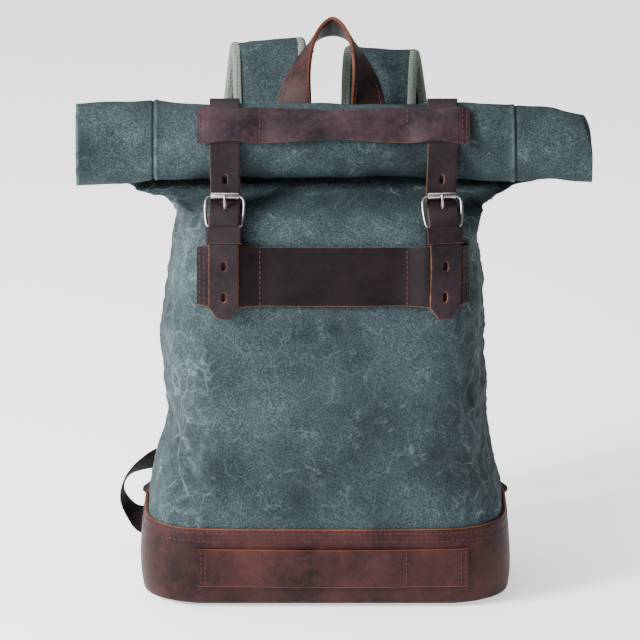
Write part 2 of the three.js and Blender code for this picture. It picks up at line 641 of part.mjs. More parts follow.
// Between the yoke and the roll the strap hangs free. Share is of that way, and bow of how
// far it keeps behind the straight line, so that it passes the canvas.
const STRAP_FREE = 6; // from the yoke to where it leaves the back
const STRAP_BOW = 9;
const STRAP_BEHIND = [
  { share: 0.2, bow: 0.78 },
  { share: 0.45, bow: 1 },
  { share: 0.75, bow: 0.56 },
];
const STRAP_TOUCH = 40; // angles on the roll between which the strap lies on it
const STRAP_LEAVE = 182;
const STRAP_TURNS = 6;
function strapRows(side) {
  const { at, out } = buckleFrame(side);
  const [thick, width] = [STRAP_LEATHER, STRAP_WIDTH];
  const overHeel = PRONG_WRAP + GAP + thick / 2;
  const behindRoller = -(ROLLER / 2 + ROLLER_CLEAR + thick / 2);
  const row = (at, face) => ({ at, face, width, thick });
  const rows = [];
  for (const share of [0.12, 0.5, 0.9]) {
    const z = YOKE_TOP - (1 - share) * YOKE_HEIGHT;
    rows.push(row(strapPoint(side, 0, z, BACK_SEAT + thick / 2, "back"), strapNormal(side, z, "back")));
  }
  const above = YOKE_TOP + STRAP_FREE;
  rows.push(row(strapPoint(side, 0, above, BACK_SEAT + thick, "back"), strapNormal(side, above, "back")));
  const lift = 2 * GAP + thick / 2;
  const x = strapX(side);
  const last = rows.at(-1).at;
  const touch = rollPoint(x, STRAP_TOUCH, lift);
  for (const { share, bow } of STRAP_BEHIND) {
    const at = last.clone().lerp(touch, share).add(vector(0, bow * STRAP_BOW, 0));
    rows.push(row(at, vector(0, 1, 0.6)));
  }
  for (let k = 0; k <= STRAP_TURNS; k++) {
    const a = mix(STRAP_TOUCH, STRAP_LEAVE, k / STRAP_TURNS);
    rows.push(row(rollPoint(x, a, lift), vector(0, Math.cos(radians(a)), Math.sin(radians(a)))));
  }
  for (const { up, over, behind } of STRAP_IN_BUCKLE) {
    rows.push(row(at(up * BUCKLE_LENGTH, over * overHeel + behind * behindRoller), out));
  }
  const tip = FRONT_STRIP_TOP - STRAP_TAIL;
  const heights = [FRONT_STRIP_TOP + KEEPER_RISE + KEEPER_HEIGHT, FRONT_STRIP_TOP + KEEPER_RISE];
  heights.push(...[0.1, 0.4, 0.7, 1].map((share) => mix(FRONT_STRIP_TOP, tip, share)));
  for (const z of heights) rows.push(row(strapPoint(side, 0, z, STRAP_OFF), strapNormal(side, z)));
  return rows;
}

const STRAP_STEPS = 42;
const TIP_LENGTH = 12;
function buckledStrap(side) {
  const rings = bandRings(strapRows(side), STRAP_STEPS);
  const middles = rings.map((ring) => ring[0].clone().lerp(ring[2], 0.5));
  const lengths = [0];
  middles.slice(1).forEach((p, k) => lengths.push(lengths[k] + p.distanceTo(middles[k])));
  const total = lengths.at(-1);
  const narrowed = rings.map((ring, i) => {
    const share = THREE.MathUtils.clamp((total - lengths[i]) / TIP_LENGTH, 0, 1);
    const narrow = mix(0.42, 1, Math.sqrt(1 - (1 - share) ** 2));
    const [a, b, c, d] = ring;
    const [inner, outer] = [a.clone().lerp(b, 0.5), c.clone().lerp(d, 0.5)];
    return [
      inner.clone().lerp(a, narrow),
      inner.lerp(b, narrow),
      outer.clone().lerp(c, narrow),
      outer.lerp(d, narrow),
    ];
  });
  const hole = buckleFrame(side).at(PRONG_HOLE * BUCKLE_LENGTH, 0);
  const distances = middles.map((p) => p.distanceTo(hole));
  const start = lengths[distances.indexOf(Math.min(...distances))];
  const slots = [];
  for (let n = -SLOTS_ABOVE; n <= SLOTS_BELOW; n++) {
    const place = start + n * SLOT_PITCH;
    if (place > total - 1.5 * SLOT_LENGTH) continue;
    const k = lengths.findIndex((length) => length >= place);
    const share = (place - lengths[k - 1]) / (lengths[k] - lengths[k - 1]);
    const along = middles[k].clone().sub(middles[k - 1]).normalize();
    const across = rings[k][1].clone().sub(rings[k][0]).normalize();
    const middle = middles[k - 1].clone().lerp(middles[k], share);
    slots.push(slotCutter(middle, along, across, SLOT_LENGTH, STRAP_LEATHER));
  }
  return cut(loft(narrowed), slots);
}

// A round-ended slot that passes through a strap.
const SLOT_END_STEPS = 2;
function slotCutter(middle, along, across, length, depth) {
  const out = along.clone().cross(across).normalize();
  const straight = (length - SLOT_WIDTH) / 2;
  const shape = [];
  for (const end of [0, Math.PI]) {
    for (let k = 0; k <= SLOT_END_STEPS; k++) {
      const a = end + (k / SLOT_END_STEPS) * Math.PI;
      shape.push([
        (SLOT_WIDTH / 2) * Math.cos(a),
        (SLOT_WIDTH / 2) * Math.sin(a) + (end ? -straight : straight),
      ]);
    }
  }
  const ring = (off) =>
    shape.map(([w, l]) => {
      return middle.clone().addScaledVector(across, w).addScaledVector(along, l).addScaledVector(out, off);
    });
  return loft([ring(-depth), ring(depth)]);
}

// A round bar or wire through a list of points, closed on itself or capped.
function wire(points, diameter, sides, goesRound) {
  const rings = points.map((point, i) => {
    const count = points.length;
    const before = goesRound ? points[(i + count - 1) % count] : points[Math.max(i - 1, 0)];
    const after = goesRound ? points[(i + 1) % count] : points[Math.min(i + 1, count - 1)];
    const along = after.clone().sub(before).normalize();
    const hint = Math.abs(along.x) > 0.9 ? vector(0, 0, 1) : vector(1, 0, 0);
    const u = hint.addScaledVector(along, -hint.dot(along)).normalize();
    const v = along.clone().cross(u);
    return Array.from({ length: sides }, (_, k) => {
      const a = ((k + 0.5) / sides) * 2 * Math.PI;
      return point
        .clone()
        .addScaledVector(u, (diameter / 2) * Math.cos(a))
        .addScaledVector(v, (diameter / 2) * Math.sin(a));
    });
  });
  return loft(rings, goesRound);
}

// The frame's wire runs up from the heel bar, round the top corners and along the roller.
function buckleWire(side) {
  const { at } = buckleFrame(side);
  const half = (BUCKLE_WIDTH - WIRE) / 2;
  const foot = half - BUCKLE_TAPER;
  const corner = (cx, cy, radius, from, to) => {
    return Array.from({ length: 4 }, (_, k) => {
      const a = radians(mix(from, to, k / 3));
      return [cx + radius * Math.cos(a), cy + radius * Math.sin(a)];
    });
  };
  const footRound = BUCKLE_CORNER * 0.46;
  const loop = [
    ...corner(half - BUCKLE_CORNER, BUCKLE_LENGTH - BUCKLE_CORNER, BUCKLE_CORNER, 0, 90),
    ...corner(-half + BUCKLE_CORNER, BUCKLE_LENGTH - BUCKLE_CORNER, BUCKLE_CORNER, 90, 180),
    [-half, BUCKLE_LENGTH * 0.42],
    ...corner(-foot + footRound, footRound, footRound, 190, 270),
    ...corner(foot - footRound, footRound, footRound, 270, 350),
    [half, BUCKLE_LENGTH * 0.42],
  ];
  return wire(loop.map(([aside, rise]) => at(rise, 0, aside)), WIRE, 6, true);
}

const ROLLER_SIDES = 12;
function roller(side) {
  const { at, up, out } = buckleFrame(side);
  const half = (BUCKLE_WIDTH - WIRE) / 2 - 0.82 * BUCKLE_CORNER;
  const ring = (radius, aside) =>
    Array.from({ length: ROLLER_SIDES }, (_, k) => {
      const a = (k / ROLLER_SIDES) * 2 * Math.PI;
      const rim = up.clone().multiplyScalar(Math.cos(a)).addScaledVector(out, Math.sin(a));
      return at(BUCKLE_LENGTH, 0, aside).addScaledVector(rim, radius);
    });
  const inner = WIRE / 2 + GAP;
  const outer = ROLLER / 2;
  return loft([ring(outer, -half), ring(outer, half), ring(inner, half), ring(inner, -half)], true);
}

// The prong is wrapped round the heel bar, comes up through the strap and rests on the
// roller. Up is a share of the buckle's length, off of the offset at the roller.
const PRONG_LINE = [
  { up: 0.24, off: -0.6 },
  { up: 0.4, off: -0.55 },
  { up: 0.54, off: -0.2 },
  { up: 0.66, off: 0.35 },
  { up: 0.79, off: 0.85 },
  { up: 0.91, off: 1.02 },
  { up: 1.01, off: 1 },
];
const PRONG_TURN = { start: 60, end: 270, step: 42 };
function prong(side) {
  const { at } = buckleFrame(side);
  const radius = WIRE / 2 + GAP + PRONG / 2;
  const points = [];
  for (let a = PRONG_TURN.start; a <= PRONG_TURN.end; a += PRONG_TURN.step) {
    points.push(at(radius * Math.cos(radians(a)), radius * Math.sin(radians(a))));
  }
  const rest = ROLLER / 2 + GAP + PRONG / 2;
  points.push(...PRONG_LINE.map(({ up, off }) => at(up * BUCKLE_LENGTH, off * rest)));
  return wire(points, PRONG, 6, false);
}

// A leather loop round the chape and the strap.
const KEEPER_EASE = 0.7; // beside the strap
const KEEPER_CORNER = 0.6;
function keeper(side) {
  const inner = KEEPER_CLEAR + KEEPER_LEATHER;
  const outer = STRAP_OFF + STRAP_LEATHER / 2 + 3 * GAP;
  const half = STRAP_WIDTH / 2 + KEEPER_EASE;
  const loop = (grow, z) => {
    const corners = [
      [-half - grow, inner - grow],
      [half + grow, inner - grow],
      [half + grow, outer + grow - KEEPER_CORNER],
      [half + 0.4 * grow, outer + grow],
      [-half - 0.4 * grow, outer + grow],
      [-half - grow, outer + grow - KEEPER_CORNER],
    ];
    return corners.map(([aside, off]) => strapPoint(side, aside, z, off));
  };
  const low = FRONT_STRIP_TOP + KEEPER_RISE;
  const high = low + KEEPER_HEIGHT;
  return loft([loop(KEEPER_LEATHER, low), loop(KEEPER_LEATHER, high), loop(0, high), loop(0, low)], true);
}

// The chape is folded round the heel bar, and its two ends run down behind the front strip.
// Down is a share of the chape's tail below the strip's top edge, or of the way from there
// up to the heel bar. Middle and apart are in shares of their values at the heel bar.
const CHAPE_LINE = [
  { down: 1, middle: 0.5, apart: 0.45 },
  { down: 0.4, middle: 0.5, apart: 0.45 },
  { down: 0, middle: 0.62, apart: 0.45 },
  { down: -0.15, middle: 0.92, apart: 0.55 },
  { down: -0.4, middle: 1, apart: 0.62 },
  { down: -0.65, middle: 1, apart: 0.68 },
];
const PRONG_ROOM = 0.9; // round the wrapped prong
function chape(side) {
  const { heel, across, up, out } = buckleFrame(side);
  const row = (at, face) => ({ at, face, width: CHAPE_WIDTH, thick: CHAPE_LEATHER });
  const leg = (way) =>
    CHAPE_LINE.map(({ down, middle, apart }) => {
      const z = FRONT_STRIP_TOP - down * (down > 0 ? CHAPE_TAIL : HEEL_RISE);
      const off = middle * HEEL_OFF + way * apart * CHAPE_SPREAD;
      return row(strapPoint(side, 0, z, off), strapNormal(side, z).multiplyScalar(way));
    });
  const bend = [-80, -40, 0, 40, 80].map((a) => {
    const way = up.clone().multiplyScalar(Math.cos(radians(a))).addScaledVector(out, Math.sin(radians(a)));
    return row(heel.clone().addScaledVector(way, CHAPE_SPREAD), way);
  });
  const slotLength = 2 * CHAPE_SPREAD + CHAPE_LEATHER + SLOT_WIDTH;
  const slot = slotCutter(heel, out, across, slotLength, PRONG_WRAP + PRONG_ROOM);
  return cut(band([...leg(-1), ...bend, ...leg(1).reverse()], 24), [slot]);
}

// The carry handle's line from the left end to the top. Across is a share of half the
// spread, up of the rise and back of the reach. Turn is how far the face has turned from
// looking forwards, at 0, to looking up and back, at 1.
const HANDLE_LINE = [
  { across: 1.02, back: -0.05, up: 0.08, turn: 0 },
  { across: 1.06, back: -0.08, up: 0.3, turn: 0.02 },
  { across: 1.04, back: 0.06, up: 0.55, turn: 0.1 },
  { across: 0.86, back: 0.3, up: 0.78, turn: 0.4 },
  { across: 0.48, back: 0.76, up: 0.95, turn: 0.75 },
];
const HANDLE_TOP_TILT = 44; // degrees that the top of the loop leans back
function carryHandle() {
  const root = facePoint(TRIM_SHIFT, YOKE_TOP, BACK_SEAT + HANDLE_LEATHER / 2, "back");
  const middle = (HANDLE_SPREAD / 2) * 0.05;
  const size = { width: HANDLE_WIDTH, thick: HANDLE_LEATHER };
  const half = (side) => {
    const foot = [0.15, 0.5, 0.9].map((share) => {
      const z = YOKE_TOP - (1 - share) * YOKE_HEIGHT;
      const at = facePoint((side * HANDLE_SPREAD) / 2, z, BACK_SEAT + HANDLE_LEATHER / 2, "back");
      return { at, face: vector(0, -1, 0), ...size };
    });
    const rise = HANDLE_LINE.map(({ across, back, up, turn }) => {
      const x = middle * turn + (side * across * HANDLE_SPREAD) / 2;
      const at = vector(x, root.y + back * HANDLE_REACH, root.z + up * HANDLE_RISE);
      const aside = side * Math.sin(turn * Math.PI) * 0.75;
      const face = vector(aside, mix(-1, Math.sin(radians(HANDLE_TOP_TILT)), turn), turn * 0.72);
      return { at, face, ...size };
    });
    return [...foot, ...rise];
  };
  const top = {
    at: vector(middle, root.y + HANDLE_REACH, root.z + HANDLE_RISE),
    face: vector(0, Math.sin(radians(HANDLE_TOP_TILT)), Math.cos(radians(HANDLE_TOP_TILT))),
    ...size,
  };
  return band([...half(SIDES.left), top, ...half(SIDES.right).reverse()], 36);
}

// The shoulder straps' line. Out goes from the root's place, 0, to the lower end's, 1. Arch
// and reach are shares of the arch's rise and reach above the yoke; drop is a share of the
// way from the crest to the lower end. Wide and thick are shares of the pad's own sizes.
const PAD_ARCH = [
  { out: 0, arch: 0.1, reach: 0.01, wide: 0.82, thick: 0.62 },
  { out: 0.02, arch: 0.36, reach: 0.12, wide: 0.96, thick: 0.95 },
  { out: 0.04, arch: 0.66, reach: 0.4, wide: 1, thick: 1 },
  { out: 0.06, arch: 0.91, reach: 0.76, wide: 1, thick: 1 },
  { out: 0.09, arch: 1, reach: 1.1, wide: 1, thick: 1 },
];
const PAD_DROP = [
  { out: 0.14, drop: 0.05, back: 0.85, wide: 1, thick: 1 },
  { out: 0.22, drop: 0.17, back: 1.05, wide: 1, thick: 1 },
  { out: 0.4, drop: 0.38, back: 0.95, wide: 1, thick: 1 },
  { out: 0.62, drop: 0.6, back: 0.6, wide: 0.92, thick: 1 },
  { out: 0.84, drop: 0.82, back: 0.25, wide: 0.76, thick: 0.95 },
  { out: 1, drop: 1, back: 0, wide: 0.58, thick: 0.8 },
];
// How each pad hangs at its crest: how far it has sunk, and the degrees that it is turned
// about the Y axis.
const PAD_HANG = {
  left: { sunk: 0, turn: 4.5 },
  right: { sunk: 7, turn: -3 },
};
const padRoot = (side) => PAD_SHIFT + (side * PAD_SPREAD) / 2;
const padEnd = (side) => (side * PAD_END_SPREAD) / 2;
const HANDLE_STACK = BACK_SEAT + HANDLE_LEATHER + GAP;
const PAD_ROOT_WIDE = 0.78;
const PAD_ROOT_THICK = 0.6;
function padRows(side) {
  const off = HANDLE_STACK + (PAD_ROOT_THICK * PAD_THICKNESS) / 2;
  const root = facePoint(padRoot(side), YOKE_TOP, off, "back");
  const { sunk, turn: lean } = side < 0 ? PAD_HANG.left : PAD_HANG.right;
  const rise = ARCH_RISE - sunk;
  const crest = vector(0, root.y + ARCH_REACH, root.z + rise);
  const aside = -Math.sin(radians(lean));
  const rows = [0.12, 0.5, 0.9].map((share) => ({
    at: facePoint(padRoot(side), YOKE_TOP - (1 - share) * YOKE_HEIGHT, off, "back"),
    face: vector(0, -1, 0),
    width: PAD_ROOT_WIDE * PAD_WIDTH,
    thick: PAD_ROOT_THICK * PAD_THICKNESS,
  }));
  const add = (row, y, z, face) => {
    const x = mix(padRoot(side), padEnd(side), row.out);
    const size = { width: row.wide * PAD_WIDTH, thick: row.thick * PAD_THICKNESS };
    rows.push({ at: vector(x, y, z), face, ...size });
  };
  for (const row of PAD_ARCH) {
    const turn = Math.min(row.reach, 1) * (Math.PI / 2);
    const face = vector(aside * Math.sin(turn), -Math.cos(turn), Math.sin(turn));
    add(row, root.y + row.reach * ARCH_REACH, root.z + row.arch * rise, face);
  }
  for (const row of PAD_DROP) {
    const y = mix(crest.y, PAD_END_BACK, row.drop) + row.back * ARCH_REACH * 0.5;
    const left = Math.max(0, 1 - 2.5 * row.drop) * aside;
    const face = row.drop < 0.1 ? vector(aside, 1, 0.9) : vector(left, 1, 0.05);
    add(row, y, mix(crest.z, PAD_END_HEIGHT, row.drop), face);
  }
  return rows;
}

const PAD_STEPS = 18;
const padShape = (half, thick) => {
  const edge = half - BINDING - 2 * GAP;
  const flat = thick - BINDING - 1.3 * GAP;
  return [
    [-edge, 0],
    [-edge + 0.4 * thick, -flat],
    [edge - 0.4 * thick, -flat],
    [edge, 0],
    [edge - 0.4 * thick, flat],
    [-edge + 0.4 * thick, flat],
  ];
};
const shoulderPad = (side) => band(padRows(side), PAD_STEPS, padShape);

// Tape folded round one long edge of a pad.
function binding(side, edge) {
  const shape = (half, thick) => {
    const flat = thick - BINDING;
    const outer = [
      [half - BINDING_COVER, -thick],
      [half - 0.4 * thick, -thick],
      [half, 0],
      [half - 0.4 * thick, thick],
      [half - BINDING_COVER, thick],
    ];
    const inner = [
      [half - BINDING_COVER, flat],
      [half - BINDING - 0.4 * thick, flat],
      [half - BINDING, 0],
      [half - BINDING - 0.4 * thick, -flat],
      [half - BINDING_COVER, -flat],
    ];
    return [...outer, ...inner].map(([w, n]) => [w * edge, n]);
  };
  return band(padRows(side), PAD_STEPS, shape);
}

// The yoke bridges the ends that it holds. Out runs from its middle, 0, to its end, 1, and
// the columns say which of the pieces below it lies there.
const YOKE_WAVE = [
  { out: 0, handle: 0, pad: 0, strap: 0 },
  { out: 0.04, handle: 0, pad: 0, strap: 0 },
  { out: 0.075, handle: 1, pad: 1, strap: 0 },
  { out: 0.4, handle: 1, pad: 1, strap: 0 },
  { out: 0.703, handle: 1, pad: 1, strap: 0 },
  { out: 0.7085, handle: 0, pad: 0, strap: 1 },
  { out: 0.952, handle: 0, pad: 0, strap: 1 },
  { out: 0.985, handle: 0, pad: 0, strap: 0.2 },
  { out: 1, handle: 0, pad: 0, strap: 0.2 },
];
const YOKE_EASE = 0.8; // over the pads' ends
function yoke() {
  const outs = [...YOKE_WAVE.slice(1).reverse().map((r) => -r.out), ...YOKE_WAVE.map((r) => r.out)];
  const rings = outs.map((out) => {
    const { handle, pad, strap } = rowAt(YOKE_WAVE, "out", Math.abs(out));
    const padStack = pad * (PAD_ROOT_THICK * PAD_THICKNESS + YOKE_EASE);
    const over = handle * HANDLE_STACK + padStack + strap * (STRAP_LEATHER + BACK_SEAT + GAP);
    const x = TRIM_SHIFT + (out * YOKE_WIDTH) / 2;
    const side = Math.sign(out);
    const place = (z, off) => {
      if (strap > 0.5) return strapPoint(side, x - strapX(side), z, off, "back");
      return facePoint(x, z, off, "back");
    };
    const levels = levelsBetween(YOKE_TOP - YOKE_HEIGHT, YOKE_TOP);
    return [
      ...levels.map((z) => place(z, GAP + over + LEATHER)),
      ...levels.reverse().map((z) => place(z, GAP + over)),
    ];
  });
  return loft(rings);
}

// The webbing runs from a pad's lower end to the base's back corner. Across is a share of
// half the bag's width, along of half its depth, up of the base's height, and turn goes from
// facing back, 0, to facing aside, 1. Rows without a value for along lie on the base.
const WEBBING_LINES = {
  left: [
    { across: 0.68, along: 1.24, up: 1.4, turn: 0.15 },
    { across: 0.84, along: 1.2, up: 1.2, turn: 0.5 },
    { across: 1.0, along: 1.16, up: 1.08, turn: 0.8 },
    { across: 1.11, along: 1.13, up: 0.92, turn: 1 },
    { across: 1.14, along: 1.11, up: 0.7, turn: 1 },
    { across: 1.08, along: 1.1, up: 0.46, turn: 0.9 },
    { across: 0.97, along: 1.08, up: 0.32, turn: 0.5 },
    { across: 0.84, up: 0.3, turn: 0.2 },
    { across: 0.72, up: 0.3, turn: 0.02 },
  ],
  right: [
    { across: 0.64, along: 1.25, up: 1.35, turn: 0 },
    { across: 0.7, along: 1.2, up: 1, turn: 0.1 },
    { across: 0.76, along: 1.1, up: 0.72, turn: 0.25 },
    { across: 0.79, up: 0.5, turn: 0.36 },
    { across: 0.79, up: 0.27, turn: 0.36 },
  ],
};
const WEBBING_TURN = 80; // degrees
const WEBBING_CLEAR = 2; // from the base's leather
const WEBBING_SEAT = LEATHER + 2 * GAP + WEBBING / 2 + WEBBING_CLEAR;
const WEBBING_TUCK = 22; // how far it runs up on the pad's inner face
const WEBBING_DROP = 6; // and straight down below the pad
const RING_PITCH = 8; // from one of its sections to the next, about
const WEBBING_STEPS = { left: 34, right: 22 };
function webbingRings(side, name) {
  const size = { width: WEBBING_WIDTH, thick: WEBBING };
  const pad = padRows(side).at(-1);
  const y = pad.at.y - pad.thick / 2 - 3 * GAP - WEBBING / 2;
  const rows = [WEBBING_TUCK, -WEBBING_DROP].map((rise) => {
    return { at: vector(pad.at.x, y, pad.at.z + rise), face: vector(0, 1, 0), ...size };
  });
  for (const { across, along, up, turn } of WEBBING_LINES[name]) {
    const x = (side * across * BODY_WIDTH) / 2;
    const z = up * BASE_HEIGHT;
    const back = along === undefined ? faceY(x, z, "back") + WEBBING_SEAT : (along * BODY_DEPTH) / 2;
    const angle = radians(turn * WEBBING_TURN);
    const face = vector(side * Math.sin(angle), Math.cos(angle), 0.15 * turn);
    rows.push({ at: vector(x, back, z), face, ...size });
  }
  return bandRings(rows, WEBBING_STEPS[name]);
}

// A plain flat ring round the webbing, below the pad's end.
function slide(side, name) {
  const rings = webbingRings(side, name);
  const start = rings.findIndex((ring) => ring[0].z < PAD_END_HEIGHT - RING_PITCH);
  const inner = [];
  const outer = [];
  const end = start + Math.round(SLIDE_HEIGHT / RING_PITCH) + 1;
  for (const [a, b, c, d] of rings.slice(start, end)) {
    const middle = a.clone().lerp(c, 0.5);
    const across = b.clone().sub(a).normalize();
    const out = d.clone().sub(a).normalize();
    const loop = (grow) =>
      [
        [-1, -1],
        [1, -1],
        [1, 1],
        [-1, 1],
      ].map(([w, n]) => {
        return middle
          .clone()
          .addScaledVector(across, w * (SLIDE_WIDTH / 2 - SLIDE_THICKNESS + grow))
          .addScaledVector(out, n * (WEBBING / 2 + 1.5 * GAP + grow));
      });
    inner.push(loop(0));
    outer.push(loop(SLIDE_THICKNESS));
  }
  return loft([...outer, ...inner.reverse()], true);
}

// A leather triangle that stands out from the base's back corner.
const TAB_TURN = 40; // degrees from the side towards the back
const TAB_APEX = 0.35; // height of its tip, as a share of its own height
function cornerTab(side) {
  const out = vector(side * Math.cos(radians(TAB_TURN)), Math.sin(radians(TAB_TURN)), 0);
  const flat = vector(-out.y, out.x, 0).multiplyScalar(TAB_LEATHER / 2);
  const at = (off, share) => {
    const foot = cornerPoint(side, TAB_MIDDLE + (share - 0.5) * TAB_HEIGHT);
    return foot.addScaledVector(out, LEATHER + 4 * GAP + off);
  };
  const corners = [at(0, 0), at(TAB_REACH, TAB_APEX), at(TAB_REACH, TAB_APEX + 0.12), at(0, 1)];
  return loft([corners.map((p) => p.clone().sub(flat)), corners.map((p) => p.clone().add(flat))]);
}

const COLOURS = {
  canvas: { color: 0x56666b, roughness: 0.85, metalness: 0 },
  leather: { color: 0x3a2a28, roughness: 0.6, metalness: 0 },
  binding: { color: 0x8d968c, roughness: 0.9, metalness: 0 },
  webbing: { color: 0x2b2623, roughness: 0.9, metalness: 0 },
  metal: { color: 0xa39d9f, roughness: 0.35, metalness: 1 },
};
const MATERIALS = Object.fromEntries(
  Object.entries(COLOURS).map(([name, values]) => [name, new THREE.MeshStandardMaterial(values)]),
);

const bag = new THREE.Group();
function add(name, geometry, material) {
  const mesh = new THREE.Mesh(geometry, MATERIALS[material]);
  mesh.name = name;
  bag.add(mesh);
}

add("canvas_body", canvasBody(), "canvas");
add("canvas_roll", canvasRoll(), "canvas");
add("base_leather", baseLeather(), "leather");
add("roll_strip", rollStrip(), "leather");
add("front_strip", frontStrip(), "leather");
add("base_strip", baseStrip(), "leather");
for (const [name, side] of Object.entries(SIDES)) {
  add(`strap_${name}`, buckledStrap(side), "leather");
  add(`buckle_${name}`, buckleWire(side), "metal");
  add(`roller_${name}`, roller(side), "metal");
  add(`prong_${name}`, prong(side), "metal");
  add(`keeper_${name}`, keeper(side), "leather");
  add(`chape_${name}`, chape(side), "leather");
  add(`shoulder_pad_${name}`, shoulderPad(side), "canvas");
  add(`binding_outer_${name}`, binding(side, side), "binding");
  add(`binding_inner_${name}`, binding(side, -side), "binding");
  add(`webbing_${name}`, loft(webbingRings(side, name)), "webbing");
  add(`slide_${name}`, slide(side, name), "metal");
  add(`corner_tab_${name}`, cornerTab(side), "leather");
}
add("carry_handle", carryHandle(), "leather");
add("yoke", yoke(), "leather");

export default bag;
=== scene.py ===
"""A rolltop backpack of waxed canvas and leather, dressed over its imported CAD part."""

import logging
import math
from dataclasses import dataclass, field
from enum import Enum

import bmesh
import bpy
import numpy as np
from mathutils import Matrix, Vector, noise
from mathutils.bvhtree import BVHTree


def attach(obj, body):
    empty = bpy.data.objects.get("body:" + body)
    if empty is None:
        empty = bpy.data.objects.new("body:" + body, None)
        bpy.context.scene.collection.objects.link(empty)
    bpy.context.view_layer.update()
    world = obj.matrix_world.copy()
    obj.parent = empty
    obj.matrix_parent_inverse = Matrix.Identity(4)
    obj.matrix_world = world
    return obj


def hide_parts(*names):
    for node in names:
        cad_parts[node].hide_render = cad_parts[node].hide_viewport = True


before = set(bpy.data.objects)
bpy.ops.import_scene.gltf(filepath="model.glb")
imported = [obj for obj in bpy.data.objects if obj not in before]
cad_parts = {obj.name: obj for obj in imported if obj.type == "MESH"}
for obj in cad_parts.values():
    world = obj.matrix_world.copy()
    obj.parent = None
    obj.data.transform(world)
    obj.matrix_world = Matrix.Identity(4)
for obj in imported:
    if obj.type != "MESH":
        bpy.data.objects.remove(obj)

logging.basicConfig(level=logging.INFO, format="%(message)s")
LOG = logging.getLogger("backpack")

MM = 0.001
SEED = 7
THREAD_LIFT = 0.15 * MM


class Side(Enum):
    """The bag's two sides, as seen from the front."""

    LEFT = "left"
    RIGHT = "right"

    @property
    def sign(self) -> int:
        """Which way the side lies along X."""
        return -1 if self is Side.LEFT else 1


class Way(Enum):
    """Directions in which a seam's points are looked for on a piece."""

    FROM_FRONT = (0.0, 1.0, 0.0)
    FROM_BACK = (0.0, -1.0, 0.0)


# Shader and geometry graphs


class Graph:
    """Adds nodes to a tree and links or sets their inputs in one call."""

    def __init__(self, tree: bpy.types.NodeTree) -> None:
        """Keeps the tree.

        Args:
            tree: the node tree that the nodes go into.
        """
        self.tree = tree

    def add(
        self, kind: str, settings: dict | None = None, inputs: dict | None = None
    ) -> bpy.types.Node:
        """Adds one node.

        Args:
            kind: the node's Blender type.
            settings: attributes to set on it.
            inputs: socket names or numbers, with a value or a socket to link.

        Returns:
            The new node.
        """
        node = self.tree.nodes.new(kind)
        for name, value in (settings or {}).items():
            setattr(node, name, value)
        for key, value in (inputs or {}).items():
            self.feed(node, key, value)
        return node

    def feed(self, node: bpy.types.Node, key: str | int, value: object) -> None:
        """Links a socket to a node's input, or sets the input to a plain value."""
        if isinstance(value, bpy.types.NodeSocket):
            self.tree.links.new(value, node.inputs[key])
        else:
            node.inputs[key].default_value = value

    def math(
        self, operation: str, a: object, b: object = 0.0, clamp: bool = False
    ) -> bpy.types.NodeSocket:
        """Adds a Math node and returns its output."""
        settings = {"operation": operation, "use_clamp": clamp}
        return self.add("ShaderNodeMath", settings, {0: a, 1: b}).outputs[0]

    def weighted(self, a: object, share: float, b: object) -> bpy.types.NodeSocket:
        """Adds a share of one value to another and returns the sum."""
        node = self.add("ShaderNodeMath", {"operation": "MULTIPLY_ADD"}, {0: a, 1: share, 2: b})
        return node.outputs[0]

    def mask(self, name: str) -> bpy.types.NodeSocket:
        """Reads a number that is stored on the piece's points."""
        return self.add("ShaderNodeAttribute", {"attribute_name": name}).outputs["Fac"]

    def texture(self, place: object, scale: object, detail: float, **more: float) -> bpy.types.Node:
        """Adds a noise texture with more inputs by name, such as Roughness, and returns its node."""
        inputs = {"Vector": place, "Scale": scale, "Detail": detail, **more}
        return self.add("ShaderNodeTexNoise", inputs=inputs)

    def blend(self, factor: object, a: object, b: object) -> bpy.types.NodeSocket:
        """Mixes two colours and returns the result.

        Args:
            factor: how much of the second colour.
            a: the first colour or its socket.
            b: the second colour or its socket.

        Returns:
            The mixed colour's socket.
        """
        node = self.add("ShaderNodeMix", {"data_type": "RGBA"}, {"Factor": factor, 6: a, 7: b})
        return node.outputs[2]

    def ramp(self, value: object, low: float, high: float) -> bpy.types.NodeSocket:
        """Maps a value from between low and high to between 0 and 1."""
        inputs = {"Value": value, "From Min": low, "From Max": high}
        return self.add("ShaderNodeMapRange", {"clamp": True}, inputs).outputs["Result"]

    def spread(self, value: object, low: float, high: float) -> bpy.types.NodeSocket:
        """Maps a value from between 0 and 1 to between low and high."""
        inputs = {"Value": value, "To Min": low, "To Max": high}
        return self.add("ShaderNodeMapRange", inputs=inputs).outputs["Result"]


def linear(red: int, green: int, blue: int) -> tuple[float, float, float, float]:
    """A screen colour as the shader's linear colour.

    Args:
        red: from 0 to 255.
        green: from 0 to 255.
        blue: from 0 to 255.

    Returns:
        Linear red, green, blue and alpha.
    """
    shares = (channel / 255 for channel in (red, green, blue))
    return (*(s / 12.92 if s <= 0.04045 else ((s + 0.055) / 1.055) ** 2.4 for s in shares), 1.0)


